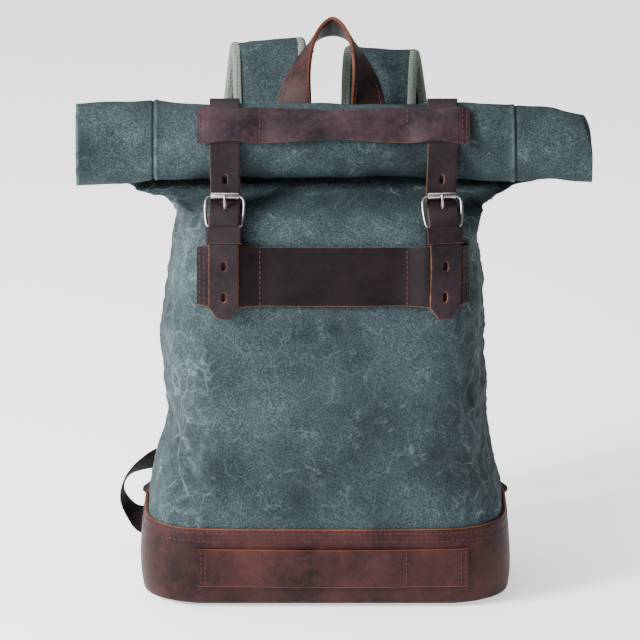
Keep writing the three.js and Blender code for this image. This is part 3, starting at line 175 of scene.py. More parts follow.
def new_group(
    name: str, scales: dict[str, float], results: tuple[str, ...]
) -> tuple[Graph, bpy.types.Node, bpy.types.Node]:
    """A shader group that takes coordinates and scales and puts out values.

    Args:
        name: the group's name.
        scales: its number inputs with their defaults.
        results: its outputs.

    Returns:
        The group's graph, its input node and its output node.
    """
    tree = bpy.data.node_groups.new(name, "ShaderNodeTree")
    tree.interface.new_socket(name="Vector", in_out="INPUT", socket_type="NodeSocketVector")
    for scale, default in scales.items():
        socket = tree.interface.new_socket(name=scale, in_out="INPUT", socket_type="NodeSocketFloat")
        socket.default_value = default
    for result in results:
        tree.interface.new_socket(name=result, in_out="OUTPUT", socket_type="NodeSocketFloat")
    graph = Graph(tree)
    return graph, graph.add("NodeGroupInput"), graph.add("NodeGroupOutput")


def mottle_group() -> bpy.types.NodeTree:
    """The wandering light and dark of a waxed or oiled surface, used by several finishes.

    Returns:
        A shader group with outputs Cloud, Speckle and Grain, each around one half, and Veins,
        thin broken lines.
    """
    layers = (("Cloud", 12.0, 5.0, 0.62), ("Speckle", 420.0, 3.0, 0.7), ("Grain", 1500.0, 2.0, 0.6))
    scales = {f"{name} Scale": scale for name, scale, _, _ in layers}
    results = (*(layer[0] for layer in layers), "Veins")
    graph, given, result = new_group("Mottle", scales, results)
    links, place = graph.tree.links, given.outputs["Vector"]
    for name, _, detail, rough in layers:
        layer = graph.texture(place, given.outputs[f"{name} Scale"], detail, Roughness=rough)
        links.new(layer.outputs["Fac"], result.inputs[name])
    wavy = graph.texture(place, 34.0, 4.0, Roughness=0.6, Distortion=1.2)
    away = graph.math("ABSOLUTE", graph.math("SUBTRACT", wavy.outputs["Fac"], 0.5))
    thin = graph.math("SUBTRACT", 1.0, graph.ramp(away, 0.0, 0.016))
    patchy = graph.texture(place, 75.0, 2.0)
    veins = graph.math("MULTIPLY", thin, graph.ramp(patchy.outputs["Fac"], 0.5, 0.62))
    links.new(veins, result.inputs["Veins"])
    return graph.tree


def crease_net_group() -> bpy.types.NodeTree:
    """A broken net of sharp creases, as crumpled waxed cloth keeps them.

    Returns:
        A shader group with outputs Lines, thin and broken, and Facets, high along the lines and
        low between them.
    """
    graph, given, result = new_group("Crease net", {"Scale": 34.0}, ("Lines", "Facets"))
    links, place = graph.tree.links, given.outputs["Vector"]
    wander = graph.texture(place, 26.0, 4.0)
    bent = graph.add(
        "ShaderNodeVectorMath",
        {"operation": "MULTIPLY_ADD"},
        {0: wander.outputs["Color"], 1: (0.04, 0.04, 0.04), 2: place},
    )
    long = graph.add(
        "ShaderNodeVectorMath", {"operation": "MULTIPLY"}, {0: bent.outputs["Vector"], 1: (1, 1, 0.62)}
    )
    cells = graph.add(
        "ShaderNodeTexVoronoi",
        {"feature": "DISTANCE_TO_EDGE"},
        {"Vector": long.outputs["Vector"], "Scale": given.outputs["Scale"]},
    )
    gap = cells.outputs["Distance"]
    patchy = graph.texture(place, 60.0, 3.0)
    thin = graph.math("SUBTRACT", 1.0, graph.ramp(gap, 0.002, 0.026))
    lines = graph.math("MULTIPLY", thin, graph.ramp(patchy.outputs["Fac"], 0.44, 0.6))
    links.new(lines, result.inputs["Lines"])
    links.new(graph.math("SUBTRACT", 1.0, graph.ramp(gap, 0.0, 0.3)), result.inputs["Facets"])
    return graph.tree


Colour = tuple[int, int, int]


@dataclass(frozen=True)
class Mottle:
    """The scales of the mottle in one finish."""

    cloud: float
    speckle: float
    grain: float


class Surface:
    """A material in the making, with its colour so far."""

    def __init__(self, name: str, colour: Colour) -> None:
        """Starts a material.

        Args:
            name: the material's name.
            colour: its first colour, which tints then cover.
        """
        self.material = bpy.data.materials.new(name)
        self.material.use_nodes = True
        self.material.node_tree.nodes.clear()
        self.graph = Graph(self.material.node_tree)
        self.place = self.graph.add("ShaderNodeTexCoord").outputs["Object"]
        self.shader = self.graph.add("ShaderNodeBsdfPrincipled")
        self.graph.add("ShaderNodeOutputMaterial", inputs={"Surface": self.shader.outputs["BSDF"]})
        self.body: object = linear(*colour)

    def group(self, tree: bpy.types.NodeTree, **scales: float) -> bpy.types.bpy_prop_collection:
        """Places a shared group and returns its outputs."""
        inputs = {"Vector": self.place, **{name.replace("_", " "): value for name, value in scales.items()}}
        return self.graph.add("ShaderNodeGroup", {"node_tree": tree}, inputs).outputs

    def mottled(self, tree: bpy.types.NodeTree, mottle: Mottle) -> bpy.types.bpy_prop_collection:
        """Places the mottle group at a finish's scales and returns its outputs."""
        scales = {"Cloud_Scale": mottle.cloud, "Speckle_Scale": mottle.speckle, "Grain_Scale": mottle.grain}
        return self.group(tree, **scales)

    def tint(self, share: object, colour: Colour) -> None:
        """Mixes a share of one more colour over the colour so far."""
        self.body = self.graph.blend(share, self.body, linear(*colour))

    def finish(
        self,
        roughness: object,
        gloss: float,
        bump: tuple[object, float, float] | None = None,
        metal: float = 0.0,
    ) -> bpy.types.Material:
        """Connects everything to the shader.

        Args:
            roughness: a number or a socket.
            gloss: the specular level.
            bump: the height's socket, its strength and its depth in metres.
            metal: how metallic the surface is.

        Returns:
            The finished material.
        """
        inputs = {"Base Color": self.body, "Roughness": roughness, "Specular IOR Level": gloss, "Metallic": metal}
        if bump is not None:
            height, strength, depth = bump
            settings = {"Strength": strength, "Distance": depth, "Height": height}
            inputs["Normal"] = self.graph.add("ShaderNodeBump", inputs=settings).outputs["Normal"]
        for name, value in inputs.items():
            self.graph.feed(self.shader, name, value)
        return self.material


@dataclass(frozen=True)
class CanvasFinish:
    """Waxed canvas: mottled, speckled, with pale lines where it has been creased, painted shade in its folds and
    seam grooves, and a painted highlight along the roll's seam ridges.
    """

    name: str
    dark: Colour
    middle: Colour
    light: Colour
    # The pale colour of worn creases, also used for the painted highlight on the roll's seam ridges.
    crease: Colour
    # Painted shade: the dark colour mixed in where the folds and seam grooves lie in shade.
    painted_shade: Colour = (16, 22, 24)
    mottle: Mottle = Mottle(11, 760, 2200)
    roughness: float = 0.78
    gloss: float = 0.12
    least_crumple: float = 0.16
    net_scales: tuple[float, float] = (34.0, 72.0)

    def make(self, shared: bpy.types.NodeTree, net: bpy.types.NodeTree) -> bpy.types.Material:
        """Builds the material.

        Args:
            shared: the mottle group.
            net: the crease net group.

        Returns:
            The finished material.
        """
        surface = Surface(self.name, self.dark)
        graph = surface.graph
        mottle = surface.mottled(shared, self.mottle)
        cloud = graph.ramp(mottle["Cloud"], 0.34, 0.66)
        speckle = graph.ramp(mottle["Speckle"], 0.42, 0.68)
        surface.tint(cloud, self.middle)
        surface.tint(graph.math("MULTIPLY", speckle, graph.weighted(cloud, 0.75, 0.15)), self.light)
        surface.tint(graph.math("MULTIPLY", mottle["Veins"], 0.16), self.crease)

        crumple = graph.math("ADD", graph.mask("crumple"), self.least_crumple, clamp=True)
        coarse, close = (surface.group(net, Scale=scale) for scale in self.net_scales)
        lines = graph.math("MAXIMUM", coarse["Lines"], graph.math("MULTIPLY", close["Lines"], 0.5))
        lines = graph.math("MULTIPLY", lines, crumple)
        facets = graph.math("MULTIPLY", graph.weighted(close["Facets"], 0.4, coarse["Facets"]), crumple)
        pale = graph.math("MULTIPLY", lines, 0.37)
        paler = graph.math("ADD", graph.math("MULTIPLY", facets, 0.035), pale, clamp=True)
        surface.tint(paler, self.crease)

        # Pale worn wax along the body's creases; on the roll the same mask also paints a highlight along the seam
        # ridges.
        patchy = graph.ramp(graph.texture(surface.place, 130.0, 3.0).outputs["Fac"], 0.36, 0.6)
        broken = graph.math("MULTIPLY", graph.mask("crease"), patchy, clamp=True)
        surface.tint(graph.math("MULTIPLY", broken, 0.62), self.crease)
        # Painted shade: darkens the canvas in its folds under the roll and in the roll's seam grooves.
        surface.tint(graph.math("MULTIPLY", graph.mask("shaded_fold"), 0.85), self.painted_shade)

        grain = graph.weighted(mottle["Speckle"], 0.7, mottle["Grain"])
        raised = graph.weighted(facets, 2.2, graph.math("MULTIPLY", lines, 1.1))
        return surface.finish(self.roughness, self.gloss, (graph.math("ADD", grain, raised), 0.35, 0.0009))


@dataclass(frozen=True)
class LeatherFinish:
    """Oiled leather with cloudy pull-up marks and raw edges."""

    name: str
    dark: Colour
    light: Colour
    edge: Colour = (112, 66, 40)
    mottle: Mottle = Mottle(30, 190, 1300)
    roughness: float = 0.5
    gloss: float = 0.13

    def make(self, shared: bpy.types.NodeTree) -> bpy.types.Material:
        """Builds the material.

        Args:
            shared: the mottle group.

        Returns:
            The finished material.
        """
        surface = Surface(self.name, self.dark)
        graph = surface.graph
        mottle = surface.mottled(shared, self.mottle)
        cloud = graph.ramp(mottle["Cloud"], 0.36, 0.68)
        marks = graph.ramp(mottle["Speckle"], 0.4, 0.75)
        surface.tint(graph.weighted(marks, 0.35, graph.math("MULTIPLY", cloud, 0.7)), self.light)
        surface.tint(graph.math("MULTIPLY", mottle["Veins"], 0.5), self.light)
        surface.tint(graph.math("MULTIPLY", graph.mask("raw"), graph.weighted(cloud, 0.5, 0.4)), self.edge)
        rough = graph.spread(mottle["Speckle"], self.roughness - 0.08, self.roughness + 0.16)
        height = graph.weighted(mottle["Speckle"], 1.2, mottle["Grain"])
        return surface.finish(rough, self.gloss, (height, 0.3, 0.0007))


@dataclass(frozen=True)
class TapeFinish:
    """Woven tape or webbing with fine ribs along one coordinate of its own."""

    name: str
    dark: Colour
    light: Colour
    ribs_per_metre: float = 900.0
    roughness: float = 0.85
    gloss: float = 0.15
    mottle: Mottle = Mottle(40, 600, 1800)

    def make(self, shared: bpy.types.NodeTree) -> bpy.types.Material:
        """Builds the material.

        Args:
            shared: the mottle group.

        Returns:
            The finished material.
        """
        surface = Surface(self.name, self.dark)
        graph = surface.graph
        speckle = surface.mottled(shared, self.mottle)["Speckle"]
        turns = graph.math("MULTIPLY", graph.mask("ribs"), self.ribs_per_metre * 2 * math.pi)
        wave = graph.weighted(graph.math("SINE", turns), 0.5, 0.5)
        mixed = graph.weighted(wave, 0.55, graph.math("MULTIPLY", speckle, 0.5))
        surface.tint(mixed, self.light)
        return surface.finish(self.roughness, self.gloss, (mixed, 0.5, 0.0006))


@dataclass(frozen=True)
class MetalFinish:
    """Dull plated steel with fine scratches."""

    name: str
    colour: Colour
    roughness: float
    mottle: Mottle = Mottle(120, 900, 3000)

    def make(self, shared: bpy.types.NodeTree) -> bpy.types.Material:
        """Builds the material.

        Args:
            shared: the mottle group.

        Returns:
            The finished material.
        """
        surface = Surface(self.name, self.colour)
        graph = surface.graph
        mottle = surface.mottled(shared, self.mottle)
        duller = tuple(int(channel * 0.86) for channel in self.colour)
        surface.tint(graph.ramp(mottle["Cloud"], 0.3, 0.7), duller)
        rough = graph.spread(mottle["Speckle"], self.roughness - 0.05, self.roughness + 0.1)
        return surface.finish(rough, 0.5, metal=1.0)


class Finishes:
    """Every material of the bag, made once."""

    def __init__(self) -> None:
        """Makes the shared groups and all materials."""
        shared = mottle_group()
        canvas = CanvasFinish("Waxed canvas", (16, 25, 28), (32, 44, 47), (72, 88, 91), (122, 138, 140))
        self.canvas = canvas.make(shared, crease_net_group())
        self.leather = LeatherFinish("Strap leather", (14, 9, 11), (38, 27, 31)).make(shared)
        self.top_panel = LeatherFinish("Roll strip leather", (16, 10, 13), (56, 40, 45)).make(shared)
        self.panel = LeatherFinish("Strip leather", (7, 4, 6), (25, 16, 20), gloss=0.09).make(shared)
        mottle = Mottle(22, 160, 1200)
        base = LeatherFinish("Base leather", (20, 7, 7), (62, 32, 30), mottle=mottle, gloss=0.14)
        self.base = base.make(shared)
        handle = LeatherFinish("Handle leather", (20, 11, 11), (62, 42, 42), edge=(92, 50, 30))
        self.handle = handle.make(shared)
        self.tape = TapeFinish("Binding tape", (66, 74, 68), (118, 126, 116)).make(shared)
        self.webbing = TapeFinish("Webbing", (13, 11, 11), (38, 33, 31), 420).make(shared)
        self.metal = MetalFinish("Plated steel", (150, 144, 146), 0.28).make(shared)
        self.dark_metal = MetalFinish("Dark steel", (96, 92, 94), 0.38).make(shared)
        self.thread = TapeFinish("Waxed thread", (44, 20, 24), (92, 52, 56), roughness=0.7).make(shared)
        self.tape_thread = TapeFinish("Tape thread", (52, 60, 56), (84, 92, 86), roughness=0.8).make(shared)
        canvas_thread = TapeFinish("Canvas thread", (14, 18, 20), (34, 40, 42), roughness=0.8)
        self.canvas_thread = canvas_thread.make(shared)


# Meshes


def link(name: str, mesh: bpy.types.Mesh) -> bpy.types.Object:
    """Puts a mesh into the scene as an object.

    Args:
        name: the object's name.
        mesh: its mesh.

    Returns:
        The new object.
    """
    made = bpy.data.objects.new(name.replace(" ", "_"), mesh)
    bpy.context.scene.collection.objects.link(made)
    return made


def node_copy(node: str, name: str) -> bpy.types.Object:
    """A welded copy of a CAD node's mesh.

    Args:
        node: the CAD node's name.
        name: the copy's name.

    Returns:
        The copy as a new object.
    """
    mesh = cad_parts[node].data.copy()
    mesh.materials.clear()
    shape = bmesh.new()
    shape.from_mesh(mesh)
    bmesh.ops.remove_doubles(shape, verts=shape.verts, dist=1e-5)
    shape.to_mesh(mesh)
    shape.free()
    for attribute in [a.name for a in mesh.attributes if a.name.startswith("custom_normal")]:
        mesh.attributes.remove(mesh.attributes[attribute])
    return link(name, mesh)


def baked(piece: bpy.types.Object) -> None:
    """Replaces a piece's mesh by what its modifiers make of it, and removes them.

    Args:
        piece: the object whose modifiers are applied.
    """
    graph = bpy.context.evaluated_depsgraph_get()
    mesh = bpy.data.meshes.new_from_object(piece.evaluated_get(graph))
    old = piece.data
    piece.modifiers.clear()
    piece.data = mesh
    bpy.data.meshes.remove(old)


def remeshed(piece: bpy.types.Object, voxel: float, smoothing: int, strength: float = 0.5) -> None:
    """Gives a closed piece even faces and rounds it.

    Args:
        piece: the object to remesh.
        voxel: the new faces' size in metres.
        smoothing: how many times it is smoothed.
        strength: how strongly each time.
    """
    grid = piece.modifiers.new("Even", "REMESH")
    grid.mode = "VOXEL"
    grid.voxel_size = voxel
    soft = piece.modifiers.new("Soft", "SMOOTH")
    soft.factor = strength
    soft.iterations = smoothing
    baked(piece)


def subdivided(piece: bpy.types.Object, levels: int, sharp: float | None = None) -> None:
    """Turns triangles to quads and subdivides a piece smoothly.

    Args:
        piece: the object to refine.
        levels: how many times.
        sharp: edges that turn by more than these degrees stay sharp, if it is given.
    """
    shape = bmesh.new()
    shape.from_mesh(piece.data)
    bmesh.ops.join_triangles(
        shape,
        faces=shape.faces,
        angle_face_threshold=math.radians(50),
        angle_shape_threshold=math.radians(50),
    )
    if sharp is not None:
        crease = shape.edges.layers.float.get("crease_edge") or shape.edges.layers.float.new("crease_edge")
        for edge in shape.edges:
            if len(edge.link_faces) == 2 and edge.calc_face_angle() > math.radians(sharp):
                edge[crease] = 0.85
    shape.to_mesh(piece.data)
    shape.free()
    finer = piece.modifiers.new("Finer", "SUBSURF")
    finer.levels = finer.render_levels = levels
    baked(piece)


def points_of(piece: bpy.types.Object) -> np.ndarray:
    """A piece's vertices as rows of x, y and z in metres."""
    flat = np.empty(len(piece.data.vertices) * 3, dtype=np.float32)
    piece.data.vertices.foreach_get("co", flat)
    return flat.reshape(-1, 3).astype(float)


def normals_of(piece: bpy.types.Object) -> np.ndarray:
    """A piece's vertex normals as rows."""
    flat = np.empty(len(piece.data.vertices) * 3, dtype=np.float32)
    piece.data.vertices.foreach_get("normal", flat)
    return flat.reshape(-1, 3).astype(float)


def set_points(piece: bpy.types.Object, points: np.ndarray) -> None:
    """Moves a piece's vertices to new places.

    Args:
        piece: the object to change.
        points: a row for each vertex.
    """
    piece.data.vertices.foreach_set("co", points.astype(np.float32).ravel())
    piece.data.update()


def set_mask(piece: bpy.types.Object, name: str, values: np.ndarray) -> None:
    """Stores one number for each vertex under a name that the materials read.

    Args:
        piece: the object to mark.
        name: the attribute's name.
        values: a number for each vertex.
    """
    mask = piece.data.attributes.new(name, "FLOAT", "POINT")
    mask.data.foreach_set("value", values.astype(np.float32))


def smooth_faces(piece: bpy.types.Object) -> None:
    """Shades a piece smoothly."""
    piece.data.polygons.foreach_set("use_smooth", [True] * len(piece.data.polygons))
    piece.data.update()


def tree_of(piece: bpy.types.Object) -> BVHTree:
    """A piece's faces, ready for finding points on them."""
    faces = [tuple(face.vertices) for face in piece.data.polygons]
    return BVHTree.FromPolygons([v.co for v in piece.data.vertices], faces)


@dataclass
class CutFaces:
    """Which faces of a CAD leather piece are its cut edges: narrow, with much leather below."""

    piece: bpy.types.Object
    thickness: float

    def find(self) -> tuple[BVHTree, np.ndarray]:
        """Looks at every face.

        Returns:
            The faces as a tree, and for each whether it is cut.
        """
        tree = tree_of(self.piece)
        places = [vertex.co for vertex in self.piece.data.vertices]
        cut = np.zeros(len(self.piece.data.polygons))
        for face in self.piece.data.polygons:
            corners = [places[i] for i in face.vertices]
            longest = max((corners[i] - corners[i - 1]).length for i in range(len(corners)))
            if 2 * face.area / longest > 1.35 * self.thickness:
                continue
            hit = tree.ray_cast(face.center - face.normal * 5e-5, -face.normal, self.thickness * 1.5)
            cut[face.index] = hit[0] is None
        return tree, cut

    def mark(self, soft: bpy.types.Object) -> None:
        """Marks the cut edges on the softened piece.

        Args:
            soft: the piece made from the CAD one.
        """
        tree, cut = self.found
        raw = [cut[tree.find_nearest(vertex.co)[2]] for vertex in soft.data.vertices]
        set_mask(soft, "raw", np.array(raw))

    def mark_own(self) -> None:
        """Marks the cut faces on the CAD piece itself, so that finer faces take it over."""
        mask = self.piece.data.attributes.new("raw", "FLOAT", "FACE")
        mask.data.foreach_set("value", self.found[1].astype(np.float32))

    def __post_init__(self) -> None:
        """Finds the faces while the CAD mesh is still as it was."""
        self.found = self.find()


def finished(piece: bpy.types.Object, material: bpy.types.Material, slot: str, *nodes: str) -> bpy.types.Object:
    """Gives a piece its material and its place on the bag.

    Args:
        piece: the object to finish.
        material: what it is made of.
        slot: not used.
        nodes: the CAD nodes that it stands for.

    Returns:
        The same object.
    """
    piece.data.materials.clear()
    piece.data.materials.append(material)
    smooth_faces(piece)
    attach(piece, "root")
    if nodes:
        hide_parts(*nodes)
    LOG.info("%s: %d faces", piece.name, len(piece.data.polygons))
    return piece


# Seams


def stitch_group() -> bpy.types.NodeTree:
    """Stitches laid along a curve: short rounded threads with a gap between them.

    Returns:
        The geometry node group.
    """
    tree = bpy.data.node_groups.new("Stitches", "GeometryNodeTree")
    tree.interface.new_socket(name="Geometry", in_out="INPUT", socket_type="NodeSocketGeometry")
    for name, value in (("Spacing", 0.0045), ("Length", 0.0034), ("Thread", 0.0005)):
        socket = tree.interface.new_socket(name=name, in_out="INPUT", socket_type="NodeSocketFloat")
        socket.default_value = value
    tree.interface.new_socket(name="Material", in_out="INPUT", socket_type="NodeSocketMaterial")
    tree.interface.new_socket(name="Geometry", in_out="OUTPUT", socket_type="NodeSocketGeometry")
    graph = Graph(tree)
    given = graph.add("NodeGroupInput")
    result = graph.add("NodeGroupOutput")
    spots = graph.add(
        "GeometryNodeCurveToPoints",
        {"mode": "LENGTH"},
        {"Curve": given.outputs["Geometry"], "Length": given.outputs["Spacing"]},
    )
    turn = graph.add("FunctionNodeAlignRotationToVector", {"axis": "Z"}, {"Vector": spots.outputs["Tangent"]})
    ball = graph.add("GeometryNodeMeshUVSphere", inputs={"Segments": 6, "Rings": 4, "Radius": 1.0})
    half = graph.math("MULTIPLY", given.outputs["Length"], 0.5)
    thread = given.outputs["Thread"]
    sizes = graph.add("ShaderNodeCombineXYZ", inputs={"X": thread, "Y": thread, "Z": half})
    placed = graph.add(
        "GeometryNodeInstanceOnPoints",
        inputs={
            "Points": spots.outputs["Points"],
            "Instance": ball.outputs["Mesh"],
            "Rotation": turn.outputs["Rotation"],
            "Scale": sizes.outputs["Vector"],
        },
    )
    real = graph.add("GeometryNodeRealizeInstances", inputs={"Geometry": placed.outputs["Instances"]})
    smooth = graph.add("GeometryNodeSetShadeSmooth", inputs={"Geometry": real.outputs["Geometry"]})
    paint = {"Geometry": smooth.outputs["Geometry"], "Material": given.outputs["Material"]}
    painted = graph.add("GeometryNodeSetMaterial", inputs=paint)
    tree.links.new(painted.outputs["Geometry"], result.inputs["Geometry"])
    return tree


@dataclass(frozen=True)
class Thread:
    """The size of one seam's stitches in metres."""

    spacing: float = 4.2 * MM
    length: float = 3.2 * MM
    radius: float = 0.42 * MM


@dataclass
class Seams:
    """Collects the bag's seams and lays stitches along them."""

    group: bpy.types.NodeTree = field(default_factory=stitch_group)

    def sew(
        self,
        name: str,
        lines: list[list[Vector]],
        thread: Thread,
        material: bpy.types.Material,
        slot: str = "leather",
    ) -> None:
        """Makes one piece of stitches from several lines.

        Args:
            name: the piece's name.
            lines: each seam's points in order.
            thread: the stitches' sizes.
            material: the thread's material.
            slot: a material slot name, handed on to finished().
        """
        lines = [line for line in lines if len(line) > 1]
        if not lines:
            LOG.info("%s: no seam found", name)
            return
        curve = bpy.data.curves.new(name, "CURVE")
        curve.dimensions = "3D"
        for line in lines:
            spline = curve.splines.new("POLY")
            spline.points.add(len(line) - 1)
            spline.points.foreach_set("co", [value for point in line for value in (*point, 1.0)])
        source = link(name + " line", curve)
        seam = source.modifiers.new("Stitches", "NODES")
        seam.node_group = self.group
        values = {
            "Spacing": thread.spacing,
            "Length": thread.length,
            "Thread": thread.radius,
            "Material": material,
        }
        for item in self.group.interface.items_tree:
            if item.in_out == "INPUT" and item.name in values:
                seam[item.identifier] = values[item.name]
        graph = bpy.context.evaluated_depsgraph_get()
        mesh = bpy.data.meshes.new_from_object(source.evaluated_get(graph))
        bpy.data.objects.remove(source)
        piece = link(name, mesh)
        finished(piece, material, slot)


def across_line(
    start: tuple[float, float], end: tuple[float, float], steps: int
) -> list[tuple[float, float]]:
    """Evenly spaced pairs from one to another, both with their ends."""
    shares = np.linspace(0, 1, steps)
    return [(start[0] + (end[0] - start[0]) * s, start[1] + (end[1] - start[1]) * s) for s in shares]


def seen_from(tree: BVHTree, pairs: list[tuple[float, float]], way: Way) -> list[Vector]:
    """The first points that rays along Y meet on a piece.

    Args:
        tree: the piece's faces.
        pairs: x and z of each ray in millimetres.
        way: which way the rays go.

    Returns:
        The points that were met.
    """
    ray = Vector(way.value)
    found = []
    for x, z in pairs:
        hit = tree.ray_cast(Vector((x * MM, 0, z * MM)) - ray, ray)
        if hit[0] is not None:
            found.append(hit[0] + hit[1] * THREAD_LIFT)
    return found


def edge_lines(
    tree: BVHTree, span: tuple[float, float], heights: np.ndarray, way: Way, inset: float
) -> list[list[Vector]]:
    """Two lines just inside the left and right edges of an upright piece.

    Args:
        tree: the piece's faces.
        span: the lowest and highest x that are looked at, in millimetres.
        heights: the lines' heights in millimetres.
        way: which way the piece is looked at.
        inset: how far inside the edges the lines lie, in metres.

    Returns:
        The left and the right line.
    """
    lines = ([], [])
    for height in heights:
        row = seen_from(tree, across_line((span[0], height), (span[1], height), 90), way)
        for line, edge, step in ((lines[0], 0, 1), (lines[1], -1, -1)):
            inside = [point for point in row[::step] if abs(point.x - row[edge].x) >= inset]
            if inside and (not line or (inside[0] - line[-1]).length < 0.012):
                line.append(inside[0])
    return list(lines)


# The bag


class Crease(Enum):
    """Kinds of line in the canvas."""

    RIDGE = "ridge"
    # A fold: sunk into the cloth, with painted shade in its colour.
    SHADED_FOLD = "shaded_fold"


VIEW_TILT = 17.0
CREASE_WIDTH = {Crease.RIDGE: 3.2, Crease.SHADED_FOLD: 5.0}

# Lines in the canvas as they are seen from the front and 17 degrees above: kind, strength and
# points, each with its place to the right of the middle and its apparent height in millimetres.
SEEN_CREASES = [
    (Crease.RIDGE, 0.85, ((-127, 318), (-124, 297), (-123, 281), (-129, 258), (-122, 243), (-114, 231))),
    (Crease.RIDGE, 0.7, ((-127, 289), (-128, 270), (-129, 258), (-137, 239))),
    (Crease.RIDGE, 0.9, ((-137, 216), (-132, 197), (-123, 178), (-121, 172))),
    (Crease.RIDGE, 0.95, ((-136, 210), (-136, 191), (-134, 168), (-131, 147), (-127, 128), (-120, 111), (-113, 93))),
    (Crease.RIDGE, 0.6, ((-138, 183), (-132, 160), (-131, 147), (-133, 135))),
    (Crease.RIDGE, 0.5, ((-129, 164), (-117, 170))),
    (Crease.RIDGE, 0.8, ((-136, 86), (-132, 103), (-124, 114), (-116, 120))),
    (Crease.RIDGE, 0.9, ((-142, 64), (-127, 68), (-111, 77))),
    (Crease.RIDGE, 0.6, ((-121, 111), (-129, 100), (-136, 93))),
    (Crease.RIDGE, 0.7, ((119, 276), (124, 256), (122, 235), (118, 216), (121, 197))),
    (Crease.RIDGE, 0.7, ((109, 226), (116, 214), (122, 200))),
    (Crease.RIDGE, 0.95, ((122, 197), (119, 176), (111, 153), (116, 131), (124, 118))),
    (Crease.RIDGE, 0.85, ((121, 197), (122, 172), (119, 147), (122, 126), (126, 116))),
    (Crease.RIDGE, 0.6, ((128, 201), (129, 168), (129, 139), (124, 118))),
    (Crease.RIDGE, 0.95, ((124, 118), (118, 108), (124, 89), (132, 72), (141, 64))),
    (Crease.RIDGE, 0.7, ((127, 118), (131, 97), (137, 81), (142, 64))),
    (Crease.RIDGE, 0.6, ((109, 147), (116, 126), (121, 116))),
    (Crease.RIDGE, 0.5, ((112, 189), (116, 195), (121, 197))),
    (Crease.RIDGE, 0.7, ((135, 329), (134, 316), (128, 308))),
    # Folds under the roll and down the sides, darkened with painted shade.
    (Crease.SHADED_FOLD, 0.9, ((115, 321), (124, 315), (131, 310))),
    (Crease.SHADED_FOLD, 0.6, ((112, 322), (122, 316), (124, 306))),
    (Crease.SHADED_FOLD, 0.5, ((131, 321), (143, 327))),
    (Crease.SHADED_FOLD, 0.55, ((-155, 324), (-140, 320), (-118, 317))),
    (Crease.SHADED_FOLD, 0.5, ((-117, 315), (-112, 307), (-110, 302))),
    (Crease.SHADED_FOLD, 0.35, ((-126, 240), (-124, 222), (-129, 205))),
    (Crease.SHADED_FOLD, 0.35, ((-127, 120), (-129, 108), (-131, 98))),
    (Crease.SHADED_FOLD, 0.45, ((116, 186), (116, 165), (118, 142))),
    (Crease.SHADED_FOLD, 0.35, ((126, 190), (126, 165), (125, 140))),
]


# Slow waves of the body's canvas: per metre along X, Y and Z, and a phase.
BODY_WAVES = (
    (90, 60, 120, 0.3),
    (-70, 110, 95, 1.9),
    (140, -80, 60, 4.0),
    (60, 190, -150, 1.1),
)


def gap_to_line(
    u: np.ndarray, v: np.ndarray, start: tuple[float, float], end: tuple[float, float]
) -> np.ndarray:
    """How far points lie from one straight line, all in one plane.

    Args:
        u: the points' first coordinates.
        v: their second coordinates.
        start: the line's first end.
        end: its other end.

    Returns:
        A distance for each point.
    """
    du, dv = end[0] - start[0], end[1] - start[1]
    share = np.clip(((u - start[0]) * du + (v - start[1]) * dv) / (du * du + dv * dv), 0, 1)
    return np.hypot(u - start[0] - share * du, v - start[1] - share * dv)


